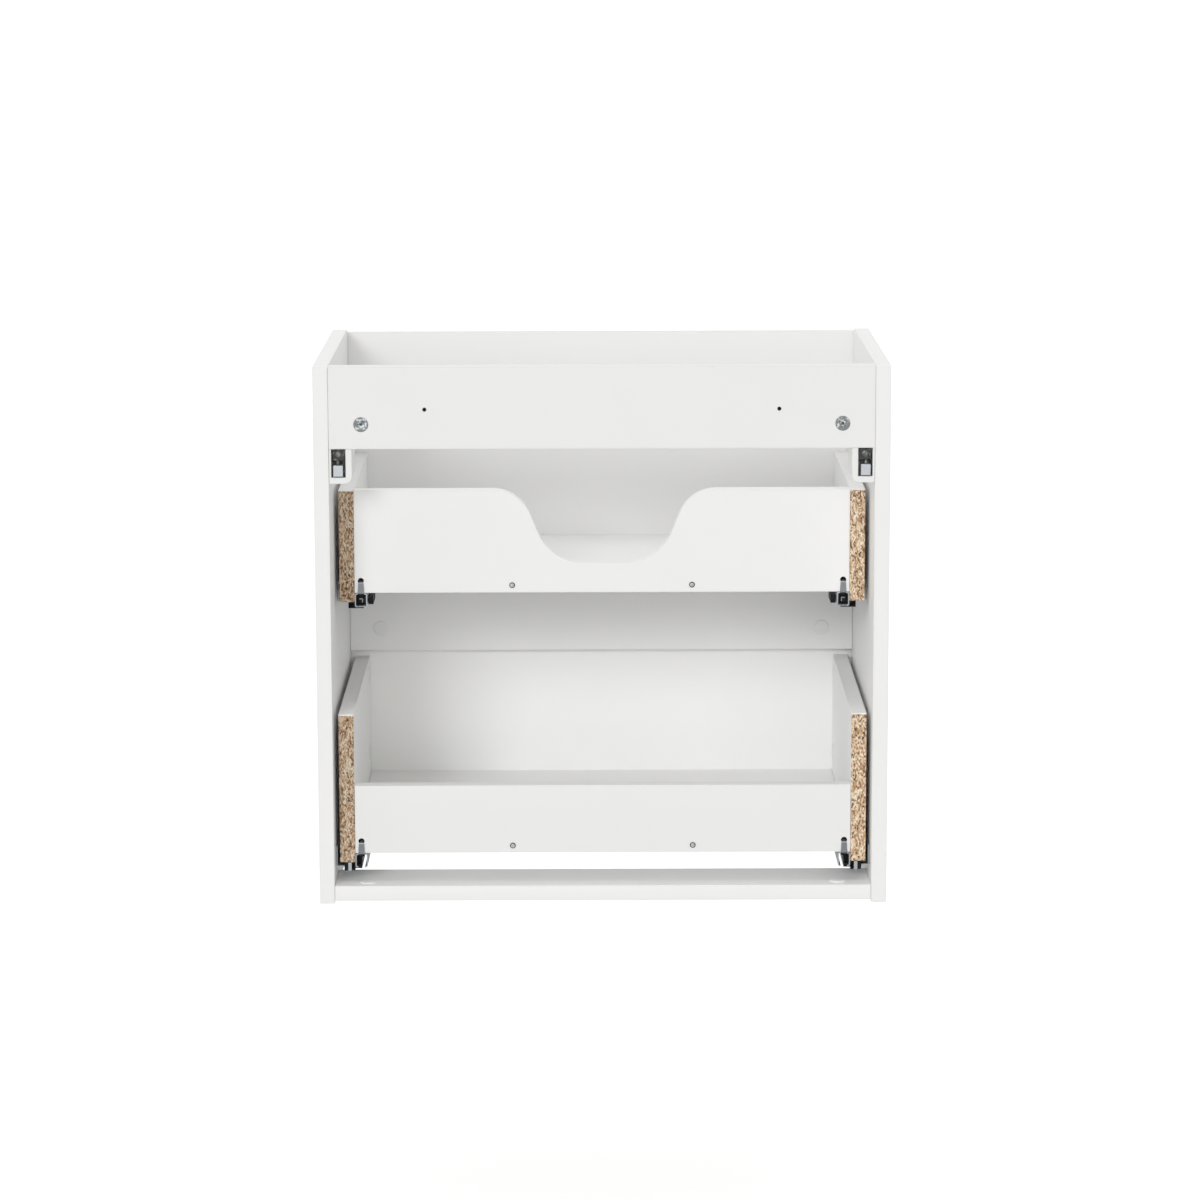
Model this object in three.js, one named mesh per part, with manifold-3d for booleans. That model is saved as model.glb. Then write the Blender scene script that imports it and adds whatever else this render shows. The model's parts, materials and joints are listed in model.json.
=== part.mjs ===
// Wall-hung cabinet body, 600 mm wide, with two drawers on full-extension undermount slides.
// Units are millimetres and +Z is up. The open rear, which hangs on the wall, faces -Y and the drawers
// open towards +Y. +X is to the right as seen from the rear. The origin is the centre of the
// bounding box's bottom face.

import * as THREE from "three";
import { mergeVertices } from "three/addons/utils/BufferGeometryUtils.js";
import Module from "manifold-3d";

const wasm = await Module();
wasm.setup();

// ---------------------------------------------------------------- driving dimensions
const BOARD = 16; // thickness of every board
const GAP = 0.3; // clearance between neighbouring pieces
const CABINET = { width: 600, depth: 350, height: 572 };
const FRONT = { standoff: 2, side: 2, bottom: 2, top: 568, split: 3 };
const REAR_RAIL = { height: 86, camX: 250, camUp: 25.5, pilotX: 184, pilotUp: 41, pilotR: 2.2 };
const MID_RAIL = { bottom: 209.4, height: 86, capX: 249, capUp: 25 };
const BOTTOM_RAIL = { bottom: 3, depth: 74, capX: 249.5, capY: 17.5 };
const DRAWER = {
  halfWidth: 279, recess: 10, screwX: 95.5, screwUp: 7.8, hookUp: 11.4, hookHoleUp: 12.8, hookHoleR: 3.3,
};
const DRAWERS = {
  upper: { rear: 71, floor: 321.9, sideHeight: 120, backHeight: 110, fullStop: true },
  lower: { rear: 21, floor: 50, sideHeight: 160, backHeight: 73, fullStop: false },
};
const CUTOUT = { x: 3, halfFlat: 22, depth: 78.9, outerR: 43, innerR: 53, slope: 68 };
const SLIDE = {
  axis: 256.2, halfWidth: 6.5, drop: 0.5, height: 15, sheet: 1.1, lip: 2, middleSet: 46, cageSet: 110,
};
const HANGER = { inner: 260, bottom: 449.2, depth: 60, wall: 6.4, floor: 6.4 };

const HALF = CABINET.width / 2;
const INSIDE = HALF - BOARD; // half width between the side panels
const FRONT_Y = CABINET.depth + FRONT.standoff;
const DEPTH = FRONT_Y + BOARD;
const SHIFT_Y = -DEPTH / 2;
const RAIL_BOTTOM = CABINET.height - REAR_RAIL.height;
const DRAWER_INSIDE = DRAWER.halfWidth - BOARD;

const SIDES = { left: -1, right: 1 };

// ---------------------------------------------------------------- finishes
const finish = (color, roughness, metalness) =>
  new THREE.MeshStandardMaterial({ color, roughness, metalness });
const WHITE_BOARD = finish(0xececea, 0.45, 0);
const WHITE_PLASTIC = finish(0xf2f2f0, 0.4, 0);
const BLACK_PLASTIC = finish(0x18181a, 0.55, 0);
const GREY_PLASTIC = finish(0x6d7073, 0.5, 0);
const ZINC_SHEET = finish(0xb4b7ba, 0.35, 1);
const DARK_STEEL = finish(0x4a4d50, 0.45, 1);
const ZINC_CAST = finish(0xa3a5a6, 0.4, 1);

// ---------------------------------------------------------------- shape helpers
const box = (x0, x1, y0, y1, z0, z1) =>
  new THREE.BoxGeometry(Math.abs(x1 - x0), y1 - y0, z1 - z0)
    .translate((x0 + x1) / 2, (y0 + y1) / 2, (z0 + z1) / 2);

// Board between two x values given for the right side; side -1 mirrors it to the left.
const sideBox = (side, x0, x1, y0, y1, z0, z1) => box(side * x0, side * x1, y0, y1, z0, z1);

// Outline in the XZ plane, extruded from y0 to y1.
function extrudeY(shape, y0, y1) {
  const solid = new THREE.ExtrudeGeometry(shape, { depth: y1 - y0, bevelEnabled: false, curveSegments: 8 });
  return solid.rotateX(Math.PI / 2).translate(0, y1, 0);
}

// Outline in the XY plane, extruded from z0 to z1.
const extrudeZ = (shape, z0, z1) =>
  new THREE.ExtrudeGeometry(shape, { depth: z1 - z0, bevelEnabled: false, curveSegments: 8 })
    .translate(0, 0, z0);

const polygon = (points) => new THREE.Shape(points.map(([a, b]) => new THREE.Vector2(a, b)));

// Rod along Y from y0 to y1, along X from x0 to x1, or along Z from z0 to z1.
const rodY = (r, x, z, y0, y1, n = 20) =>
  new THREE.CylinderGeometry(r, r, y1 - y0, n).translate(x, (y0 + y1) / 2, z);
const rodX = (r, y, z, x0, x1, n = 12) =>
  new THREE.CylinderGeometry(r, r, Math.abs(x1 - x0), n).rotateZ(Math.PI / 2)
    .translate((x0 + x1) / 2, y, z);
const rodZ = (r, x, y, z0, z1, n = 20) =>
  new THREE.CylinderGeometry(r, r, z1 - z0, n).rotateX(Math.PI / 2).translate(x, y, (z0 + z1) / 2);

function toManifold(geometry) {
  const bare = new THREE.BufferGeometry();
  bare.setAttribute("position", geometry.getAttribute("position"));
  if (geometry.index) bare.setIndex(geometry.index);
  const merged = mergeVertices(bare, 1e-4);
  return new wasm.Manifold(new wasm.Mesh({
    numProp: 3,
    vertProperties: new Float32Array(merged.getAttribute("position").array),
    triVerts: new Uint32Array(merged.index.array),
  }));
}

function toGeometry(solid) {
  const mesh = solid.getMesh();
  const points = new Float32Array((mesh.vertProperties.length / mesh.numProp) * 3);
  for (let i = 0; i < points.length / 3; i++) {
    for (let k = 0; k < 3; k++) points[3 * i + k] = mesh.vertProperties[i * mesh.numProp + k];
  }
  const geometry = new THREE.BufferGeometry();
  geometry.setAttribute("position", new THREE.BufferAttribute(points, 3));
  geometry.setIndex(new THREE.BufferAttribute(new Uint32Array(mesh.triVerts), 1));
  geometry.computeVertexNormals();
  return geometry;
}

const cut = (body, ...tools) =>
  toGeometry(tools.reduce((left, tool) => left.subtract(toManifold(tool)), toManifold(body)));
const fuse = (body, ...others) =>
  toGeometry(others.reduce((sum, other) => sum.add(toManifold(other)), toManifold(body)));

const cabinet = new THREE.Group();
cabinet.name = "wall_hung_drawer_cabinet";

function add(name, geometry, material) {
  const mesh = new THREE.Mesh(geometry.translate(0, SHIFT_Y, 0), material);
  mesh.name = name;
  cabinet.add(mesh);
}

// ---------------------------------------------------------------- carcass boards
for (const [where, side] of Object.entries(SIDES)) {
  add(`side_panel_${where}`, sideBox(side, INSIDE, HALF, 0, CABINET.depth, 0, CABINET.height), WHITE_BOARD);
}

const camZ = RAIL_BOTTOM + REAR_RAIL.camUp;
const pilotZ = RAIL_BOTTOM + REAR_RAIL.pilotUp;
add("rear_top_rail", cut(
  box(-INSIDE + GAP, INSIDE - GAP, 0, BOARD, RAIL_BOTTOM, CABINET.height),
  ...[-1, 1].flatMap((s) => [
    rodY(7.8, s * REAR_RAIL.camX, camZ, -1, 13.5, 28),
    rodY(REAR_RAIL.pilotR, s * REAR_RAIL.pilotX, pilotZ, -1, 11, 14),
  ]),
), WHITE_BOARD);

const midCapZ = MID_RAIL.bottom + MID_RAIL.capUp;
const midY = CABINET.depth - BOARD;
add("front_mid_rail", cut(
  box(-INSIDE + GAP, INSIDE - GAP, midY, CABINET.depth, MID_RAIL.bottom, MID_RAIL.bottom + MID_RAIL.height),
  ...[-1, 1].map((s) => rodY(7.5, s * MID_RAIL.capX, midCapZ, midY - 1, midY + 12.5, 24)),
), WHITE_BOARD);

const bottomTop = BOTTOM_RAIL.bottom + BOARD;
add("rear_bottom_rail", cut(
  box(-INSIDE + GAP, INSIDE - GAP, 0, BOTTOM_RAIL.depth, BOTTOM_RAIL.bottom, bottomTop),
  ...[-1, 1].map((s) => rodZ(7.5, s * BOTTOM_RAIL.capX, BOTTOM_RAIL.capY, bottomTop - 12.5, bottomTop + 1, 24)),
), WHITE_BOARD);

// ---------------------------------------------------------------- joint fittings and their covers
// Cam with a cross recess; its face looks along +Y before it is turned to the rear.
function camLock() {
  const body = new THREE.LatheGeometry([
    new THREE.Vector2(0, -12.8), new THREE.Vector2(6.6, -12.8), new THREE.Vector2(7.4, -12),
    new THREE.Vector2(7.4, -0.8), new THREE.Vector2(6.9, 0), new THREE.Vector2(0, 0),
  ], 28);
  return cut(body, box(-4, 4, -3, 1, -0.9, 0.9), box(-0.9, 0.9, -3, 1, -4, 4), box(-4, 4, -9.5, -4.5, 2, 9));
}

// Push-in cover: a thin dome with a short stem, face along +Y.
function coverCap() {
  return new THREE.LatheGeometry([
    new THREE.Vector2(0, -6), new THREE.Vector2(3.8, -6), new THREE.Vector2(4.2, -5.4),
    new THREE.Vector2(4.2, GAP), new THREE.Vector2(8.5, GAP), new THREE.Vector2(8.3, 0.9),
    new THREE.Vector2(7.2, 1.4), new THREE.Vector2(0, 1.6),
  ], 24);
}

for (const [where, side] of Object.entries(SIDES)) {
  add(`rear_rail_cam_${where}`,
    camLock().rotateZ(Math.PI).translate(side * REAR_RAIL.camX, 0.2, camZ), ZINC_CAST);
  add(`mid_rail_cap_${where}`,
    coverCap().rotateZ(Math.PI).translate(side * MID_RAIL.capX, midY, midCapZ), WHITE_PLASTIC);
  add(`bottom_rail_cap_${where}`,
    coverCap().rotateX(Math.PI / 2).translate(side * BOTTOM_RAIL.capX, BOTTOM_RAIL.capY, bottomTop),
    WHITE_PLASTIC);
}

// ---------------------------------------------------------------- wall hangers below the rear top rail
// Open plastic housing, seen from the rear as a U with one rounded lower corner.
function hangerHousing(side) {
  const x0 = side * (INSIDE - GAP), x1 = side * HANGER.inner;
  const top = RAIL_BOTTOM - GAP, r = 9;
  const outline = new THREE.Shape();
  outline.moveTo(x0, top);
  outline.lineTo(x0, HANGER.bottom);
  outline.lineTo(x1 + side * r, HANGER.bottom);
  outline.quadraticCurveTo(x1, HANGER.bottom, x1, HANGER.bottom + r);
  outline.lineTo(x1, top);
  outline.lineTo(x1 + side * HANGER.wall, top);
  outline.lineTo(x1 + side * HANGER.wall, HANGER.bottom + HANGER.floor);
  outline.lineTo(x0 - side * 2.2, HANGER.bottom + HANGER.floor);
  outline.lineTo(x0 - side * 2.2, top);
  outline.closePath();
  return extrudeY(outline, 1, HANGER.depth);
}

// Steel block with the pan head of its adjusting screw facing the rear.
function hangerBlock(side) {
  const x = side * 273.4, z = 479.4;
  const block = fuse(
    box(x - 6.3, x + 6.3, 4, 48, 473.4, RAIL_BOTTOM - 0.8),
    rodY(4.4, x, z, 2.2, 6, 20),
    box(x - 4, x + 4, 30, 48, 470.4, 475),
  );
  return cut(block, box(x - 3, x + 3, 1, 4.2, z - 0.6, z + 0.6), box(x - 0.6, x + 0.6, 1, 4.2, z - 3, z + 3));
}

// Steel hook bar with a slot on its underside for the wall rail.
function hangerHook(side) {
  const x = side * 274.3;
  return cut(
    box(x - 5, x + 5, 0.6, 44, 456.9, 468.2),
    box(x - 6, x + 6, 3.6, 6.8, 450, 463),
    box(x - 6, x + 6, 0, 2, 466.6, 470),
    rodX(2.4, 36, 462.5, x - 6, x + 6, 16),
  );
}

for (const [where, side] of Object.entries(SIDES)) {
  add(`hanger_housing_${where}`, hangerHousing(side), WHITE_PLASTIC);
  add(`hanger_block_${where}`, hangerBlock(side), DARK_STEEL);
  add(`hanger_hook_${where}`, hangerHook(side), ZINC_SHEET);
}

// ---------------------------------------------------------------- drawer boxes
// Rear board outline; the upper one has a smooth S-sided dip that clears the drain.
function backOutline(low, high, dip) {
  const shape = new THREE.Shape();
  const half = DRAWER_INSIDE - GAP;
  shape.moveTo(-half, low);
  shape.lineTo(half, low);
  shape.lineTo(half, high);
  if (dip) {
    const { x, halfFlat, depth, outerR, innerR } = CUTOUT;
    const t = THREE.MathUtils.degToRad(CUTOUT.slope);
    const straight = (depth - (outerR + innerR) * (1 - Math.cos(t))) / Math.sin(t);
    const reach = halfFlat + (outerR + innerR) * Math.sin(t) + straight * Math.cos(t);
    const arc = (cx, cz, r, from, to) => {
      const n = 9;
      for (let i = 0; i <= n; i++) {
        const a = from + ((to - from) * i) / n;
        shape.lineTo(cx + r * Math.cos(a), cz + r * Math.sin(a));
      }
    };
    const up = Math.PI / 2;
    arc(x + reach, high - outerR, outerR, up, up + t);
    arc(x + halfFlat, high - depth + innerR, innerR, -up + t, -up);
    arc(x - halfFlat, high - depth + innerR, innerR, -up, -up - t);
    arc(x - reach, high - outerR, outerR, up - t, up);
  }
  shape.lineTo(-half, high);
  shape.closePath();
  return shape;
}

function screwHead(x, y, z) {
  const pin = new THREE.LatheGeometry([
    new THREE.Vector2(0, -30), new THREE.Vector2(0.4, -30), new THREE.Vector2(1.7, -26),
    new THREE.Vector2(1.7, -1.2), new THREE.Vector2(1.8, GAP), new THREE.Vector2(3, GAP),
    new THREE.Vector2(2.9, 0.9), new THREE.Vector2(2.2, 1.3), new THREE.Vector2(0, 1.4),
  ], 16).rotateZ(Math.PI).translate(x, y, z);
  return cut(pin, box(x - 1.6, x + 1.6, y - 2, y - 0.7, z - 0.3, z + 0.3),
    box(x - 0.3, x + 0.3, y - 2, y - 0.7, z - 1.6, z + 1.6));
}

for (const [level, d] of Object.entries(DRAWERS)) {
  const side0 = d.floor - DRAWER.recess;
  const screwZ = d.floor + DRAWER.screwUp, holeZ = d.floor + DRAWER.hookHoleUp;
  const backFront = d.rear + BOARD;
  const screwHoles = (y0, y1) => [-1, 1].map((s) => rodY(2.1, s * DRAWER.screwX, screwZ, y0, y1, 12));

  for (const [where, side] of Object.entries(SIDES)) {
    add(`${level}_drawer_side_${where}`, sideBox(side, DRAWER_INSIDE, DRAWER.halfWidth,
      d.rear, FRONT_Y - GAP, side0, side0 + d.sideHeight), WHITE_BOARD);
  }
  add(`${level}_drawer_back`, cut(
    extrudeY(backOutline(d.floor, d.floor + d.backHeight, level === "upper"), d.rear, backFront),
    ...[-1, 1].map((s) => rodY(DRAWER.hookHoleR, s * SLIDE.axis, holeZ, d.rear - 1, backFront + 1, 24)),
    ...screwHoles(d.rear - 1, backFront + 1),
  ), WHITE_BOARD);
  add(`${level}_drawer_floor`, cut(
    box(-DRAWER_INSIDE + GAP, DRAWER_INSIDE - GAP, backFront + GAP, FRONT_Y - GAP, d.floor, d.floor + BOARD),
    ...screwHoles(backFront - 1, backFront + 18),
  ), WHITE_BOARD);
  [-1, 1].forEach((s, i) => add(`${level}_drawer_back_screw_${i + 1}`,
    screwHead(s * DRAWER.screwX, d.rear, screwZ), ZINC_SHEET));
}

const splitZ = (FRONT.bottom + FRONT.top) / 2;
const frontWidth = HALF - FRONT.side;
add("upper_drawer_front",
  box(-frontWidth, frontWidth, FRONT_Y, DEPTH, splitZ + FRONT.split / 2, FRONT.top), WHITE_BOARD);
add("lower_drawer_front",
  box(-frontWidth, frontWidth, FRONT_Y, DEPTH, FRONT.bottom, splitZ - FRONT.split / 2), WHITE_BOARD);

// ---------------------------------------------------------------- undermount slides
// Every profile is drawn in the XZ plane for the right side and mirrored for the left one. "w" is the
// height above the underside of the drawer's floor.
function cabinetRail(side, d) {
  const a = SLIDE.axis, wall = INSIDE - GAP;
  const outline = [
    [wall, -17.2], [wall, 5], [wall - 1.2, 5], [wall - 1.2, -16],
    [273.4, -16], [273, -13.4], [268.6, -13.4], [268.2, -16], [a + 0.6, -16], [a + 0.6, -7.6],
    [a + 2, -7.6], [a + 2, -6.4], [a - 2, -6.4], [a - 2, -7.6], [a - 0.6, -7.6], [a - 0.6, -17.2],
  ].map(([x, w]) => [side * x, d.floor + w]);
  const start = d.rear + 10, end = CABINET.depth - 3;
  const holes = [37, 69, 165, 229].filter((y) => y < end - start - 15)
    .map((y) => rodX(2.4, end - y, d.floor - 1, side * (wall - 3), side * (wall + 1)));
  if (!d.fullStop) return cut(extrudeY(polygon(outline), start, end), ...holes);
  const notch = sideBox(side, 270.4, INSIDE + 1, start - 1, start + 36, d.floor - 18, d.floor + 6);
  return cut(extrudeY(polygon(outline), start, end), notch, ...holes);
}

function middleRail(side, d) {
  const a = SLIDE.axis;
  const outline = [
    [a + 4.6, -13.2], [a + 4.6, -3.4], [a - 4.6, -3.4], [a - 4.6, -13.2],
    [a - 3.7, -13.2], [a - 3.7, -4.4], [a + 3.7, -4.4], [a + 3.7, -13.2],
  ].map(([x, w]) => [side * x, d.floor + w]);
  return extrudeY(polygon(outline), d.rear + SLIDE.middleSet, CABINET.depth - 8);
}

// Inverted U with curled lips, and a tongue at its rear end that enters the drawer's back.
function drawerRail(side, d) {
  const { axis, halfWidth: h, drop, height, sheet, lip } = SLIDE;
  const top = -drop, low = -drop - height, c = 2;
  const half = [
    [h - c, top], [h - 0.5, top - 0.5], [h, top - c], [h, low + c], [h - 0.5, low + 0.5], [h - c, low],
    [h - sheet - lip, low], [h - sheet - lip, low + sheet], [h - c, low + sheet],
    [h - sheet, low + c], [h - sheet, top - c], [h - c, top - sheet],
  ];
  const outline = [...half, ...half.map(([x, w]) => [-x, w]).reverse()]
    .map(([x, w]) => [axis * side + x, d.floor + w]);
  const rear = d.rear - 1.5, hookZ = d.floor + DRAWER.hookUp;
  const profile = extrudeY(polygon(outline), rear, FRONT_Y - 14);
  const x = axis * side;
  const tongue = polygon([
    [-3.5, -drop - sheet], [3.5, -drop - sheet], [2.8, DRAWER.hookUp], [-2.8, DRAWER.hookUp],
  ].map(([dx, w]) => [x + dx, d.floor + w]));
  return fuse(profile,
    extrudeY(tongue, rear, d.rear - GAP),
    box(x - 1.5, x + 1.5, rear, d.rear + 12, hookZ - 1.2, hookZ));
}

// Plastic bumper on the rear end of the cabinet rail, with a foot beside its head. The head is full on
// the upper slides, and covers only the half nearer the side panel on the lower ones.
function endStop(side, d) {
  const a = SLIDE.axis * side, y0 = d.rear + 0.8, y1 = d.rear + 9.7;
  const inner = d.fullStop ? -4.8 : -0.4;
  const head = polygon([
    [4.8, -13.6], [4.8, -3.4], [3.6, -2.2], [inner + 1, -2.2], [inner, -3.2], [inner, -13.6],
  ].map(([x, w]) => [a + side * x, d.floor + w]));
  const block = (x0, x1, w0, w1) =>
    sideBox(side, SLIDE.axis + x0, SLIDE.axis + x1, y0, y1, d.floor + w0, d.floor + w1);
  const [reach, foot] = d.fullStop ? [13.6, -16.9] : [18.6, -19.4];
  return fuse(extrudeY(head, y0, y1), block(d.fullStop ? -2.8 : -0.4, 2.8, -16.9, -13),
    block(0, reach, -16.9, -15.8), block(7, reach, foot, -10.5));
}

// Ball cage between the cabinet rail and the middle rail, with a row of balls on each leg.
function ballCage(side, d) {
  const a = SLIDE.axis * side, y0 = d.rear + SLIDE.cageSet, length = 84;
  const outline = [
    [3.3, -11], [3.3, -4.75], [-3.3, -4.75], [-3.3, -11], [-2.4, -11], [-2.4, -6.05], [2.4, -6.05], [2.4, -11],
  ].map(([x, w]) => [a + x, d.floor + w]);
  const windows = [];
  for (let i = 0; i < 5; i++) {
    windows.push(box(a - 4, a + 4, y0 + 8 + i * 15, y0 + 16 + i * 15, d.floor - 9.6, d.floor - 7.2));
  }
  return cut(extrudeY(polygon(outline), y0, y0 + length), ...windows);
}

// Front coupling under the drawer floor: a housing with a pin, and a sprung lever on that pin.
const LATCH = { x: 240, y: 321, low: -8.4, high: -4.2, pinR: 1.3 };

function latchHousing(side, d) {
  const { x, y, low, high, pinR } = LATCH;
  const z = (w) => d.floor + w;
  const shell = cut(
    sideBox(side, 231, 249.2, 308, FRONT_Y - 0.6, z(-12), z(-0.4)),
    sideBox(side, 225, x + 4.6, y - 8, y + 8, z(low - 0.3), z(high + 0.3)),
    rodZ(2, side * 243, 340, z(-14), z(1), 16),
    sideBox(side, 233, 247.6, 345, FRONT_Y - 2, z(-14), z(-3)),
  );
  return fuse(shell, rodZ(pinR, side * x, y, z(low - 1), z(high + 1), 16));
}

function latchLever(side, d) {
  const { x, y, low, high, pinR } = LATCH;
  const reach = 27;
  const shape = new THREE.Shape();
  shape.absarc(side * x, y, 3.4, side > 0 ? -Math.PI / 2 : Math.PI / 2, side > 0 ? Math.PI / 2 : 1.5 * Math.PI);
  const rows = [[8, 2.6], [reach - 11, 2.6], [reach - 8, 5.5], [reach - 1, 5.5], [reach, 4.5]];
  const tip = [...rows.map(([dx, w]) => [x - dx, y + w]), ...rows.map(([dx, w]) => [x - dx, y - w]).reverse()];
  (side > 0 ? tip : tip.slice().reverse()).forEach(([px, py]) => shape.lineTo(side * px, py));
  shape.closePath();
  const hole = new THREE.Path();
  hole.absarc(side * x, y, pinR + GAP, 0, 2 * Math.PI, true);
  shape.holes.push(hole);
  return extrudeZ(shape, d.floor + low, d.floor + high);
}

for (const [level, d] of Object.entries(DRAWERS)) {
  for (const [where, side] of Object.entries(SIDES)) {
    const name = (piece) => `${level}_${where}_${piece}`;
    add(name("cabinet_rail"), cabinetRail(side, d), ZINC_SHEET);
    add(name("end_stop"), endStop(side, d), BLACK_PLASTIC);
    add(name("ball_cage"), ballCage(side, d), BLACK_PLASTIC);
    add(name("middle_rail"), middleRail(side, d), ZINC_SHEET);
    add(name("drawer_rail"), drawerRail(side, d), ZINC_SHEET);
    add(name("latch_housing"), latchHousing(side, d), GREY_PLASTIC);
    add(name("latch_lever"), latchLever(side, d), BLACK_PLASTIC);
  }
}

export default cabinet;
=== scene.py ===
"""Wall-hung cabinet body with two drawers on undermount slides, seen from its open rear.

Units are metres and +Z is up. The rear faces -Y, the drawers open towards +Y and +X is to the right
as seen from the rear. Every size of a carried-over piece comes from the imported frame.
"""

from __future__ import annotations

import json
import logging
import math
from dataclasses import dataclass, field, replace
from enum import Enum
from typing import Callable, Iterable, Sequence, Union
import bmesh
import bpy
from mathutils import Matrix, Vector


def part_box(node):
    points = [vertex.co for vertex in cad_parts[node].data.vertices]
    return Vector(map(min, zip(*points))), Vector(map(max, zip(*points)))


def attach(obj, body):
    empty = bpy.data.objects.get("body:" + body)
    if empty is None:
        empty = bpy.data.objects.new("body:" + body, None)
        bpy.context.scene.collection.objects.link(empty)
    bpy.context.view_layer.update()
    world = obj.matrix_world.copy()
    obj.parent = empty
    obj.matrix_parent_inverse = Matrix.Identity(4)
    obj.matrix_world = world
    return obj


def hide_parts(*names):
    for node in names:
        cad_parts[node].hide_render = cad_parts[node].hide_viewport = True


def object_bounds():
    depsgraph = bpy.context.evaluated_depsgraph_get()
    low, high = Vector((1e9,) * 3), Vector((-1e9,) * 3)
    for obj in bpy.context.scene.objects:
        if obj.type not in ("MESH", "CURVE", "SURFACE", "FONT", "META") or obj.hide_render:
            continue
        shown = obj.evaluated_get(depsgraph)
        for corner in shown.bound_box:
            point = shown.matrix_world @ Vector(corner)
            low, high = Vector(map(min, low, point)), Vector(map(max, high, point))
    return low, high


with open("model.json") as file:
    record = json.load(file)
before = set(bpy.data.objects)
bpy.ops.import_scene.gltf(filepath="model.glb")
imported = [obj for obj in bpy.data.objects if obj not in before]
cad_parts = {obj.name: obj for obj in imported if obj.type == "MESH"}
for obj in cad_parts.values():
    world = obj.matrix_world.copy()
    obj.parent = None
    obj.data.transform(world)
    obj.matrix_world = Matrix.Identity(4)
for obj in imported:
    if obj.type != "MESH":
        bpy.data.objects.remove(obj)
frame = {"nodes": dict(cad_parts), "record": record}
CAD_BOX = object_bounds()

log = logging.getLogger("cabinet")
MM = 0.001
Point = Sequence[float]
Colour = tuple[float, float, float]
Piece = bpy.types.Object
Material = bpy.types.Material
SMOOTH_BELOW = math.radians(14.0)
# Painted shade inside drilled holes: the share of light taken from their bare chipboard.
HOLE_PAINTED_SHADE = 0.85
BOTH_SIDES = ((-1, "left"), (1, "right"))

BODY_OF = {node: body for body, nodes in frame["record"]["behaviour"]["bodies"].items() for node in nodes}


def at(x: float, y: float, z: float) -> Vector:
    """A point in millimetres from the middle of the cabinet's lower rear edge, in metres."""
    return Vector((x * MM, y * MM + CAD_BOX[0][1], z * MM))


def mm(x: float, y: float, z: float) -> Vector:
    """A point or move given in millimetres, in metres."""
    return Vector((x * MM, y * MM, z * MM))


def facing(x: float, y: float, z: float) -> Callable[[Vector, bmesh.types.BMFace], bool]:
    """A test for the faces that look along an axis."""
    return lambda where, face: face.normal.dot(Vector((x, y, z))) > 0.9


# ------------------------------------------------------------------ shader maths
class Wire:
    """One value of a finish, carried by a node's output socket."""

    def __init__(self, recipe: "Recipe", socket: bpy.types.NodeSocket) -> None:
        """Wraps one output socket.

        Args:
            recipe: the recipe that the node belongs to.
            socket: the output socket.
        """
        self.recipe = recipe
        self.socket = socket

    def _maths(self, operation: str, first: "Value", second: "Value") -> "Wire":
        """A Math node on two values."""
        return self.recipe.node("ShaderNodeMath", {"operation": operation}, {0: first, 1: second})

    def __add__(self, other: "Value") -> "Wire":
        """This value plus another."""
        return self._maths("ADD", self, other)

    def __radd__(self, other: "Value") -> "Wire":
        """Another value plus this one."""
        return self._maths("ADD", other, self)

    def __sub__(self, other: "Value") -> "Wire":
        """This value less another."""
        return self._maths("SUBTRACT", self, other)

    def __rsub__(self, other: "Value") -> "Wire":
        """Another value less this one."""
        return self._maths("SUBTRACT", other, self)

    def __mul__(self, other: "Value") -> "Wire":
        """This value times another."""
        return self._maths("MULTIPLY", self, other)

    def __rmul__(self, other: "Value") -> "Wire":
        """Another value times this one."""
        return self._maths("MULTIPLY", other, self)

    def least(self, other: "Value") -> "Wire":
        """The smaller of this value and another."""
        return self._maths("MINIMUM", self, other)

    def most(self, other: "Value") -> "Wire":
        """The larger of this value and another."""
        return self._maths("MAXIMUM", self, other)

    def size(self) -> "Wire":
        """This value without its sign."""
        return self._maths("ABSOLUTE", self, 0.0)

    def rise(self, start: float, end: float) -> "Wire":
        """A smooth step from 0 at one value to 1 at another.

        Args:
            start: the value where the step leaves 0.
            end: the value where it reaches 1. It may be below start.

        Returns:
            The step, from 0 to 1.
        """
        low, high, first, last = (start, end, 0.0, 1.0) if start < end else (end, start, 1.0, 0.0)
        return self.recipe.node(
            "ShaderNodeMapRange",
            {"interpolation_type": "SMOOTHSTEP"},
            {"Value": self, "From Min": low, "From Max": high, "To Min": first, "To Max": last},
        )


Value = Union[Wire, float, Sequence[float]]


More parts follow.
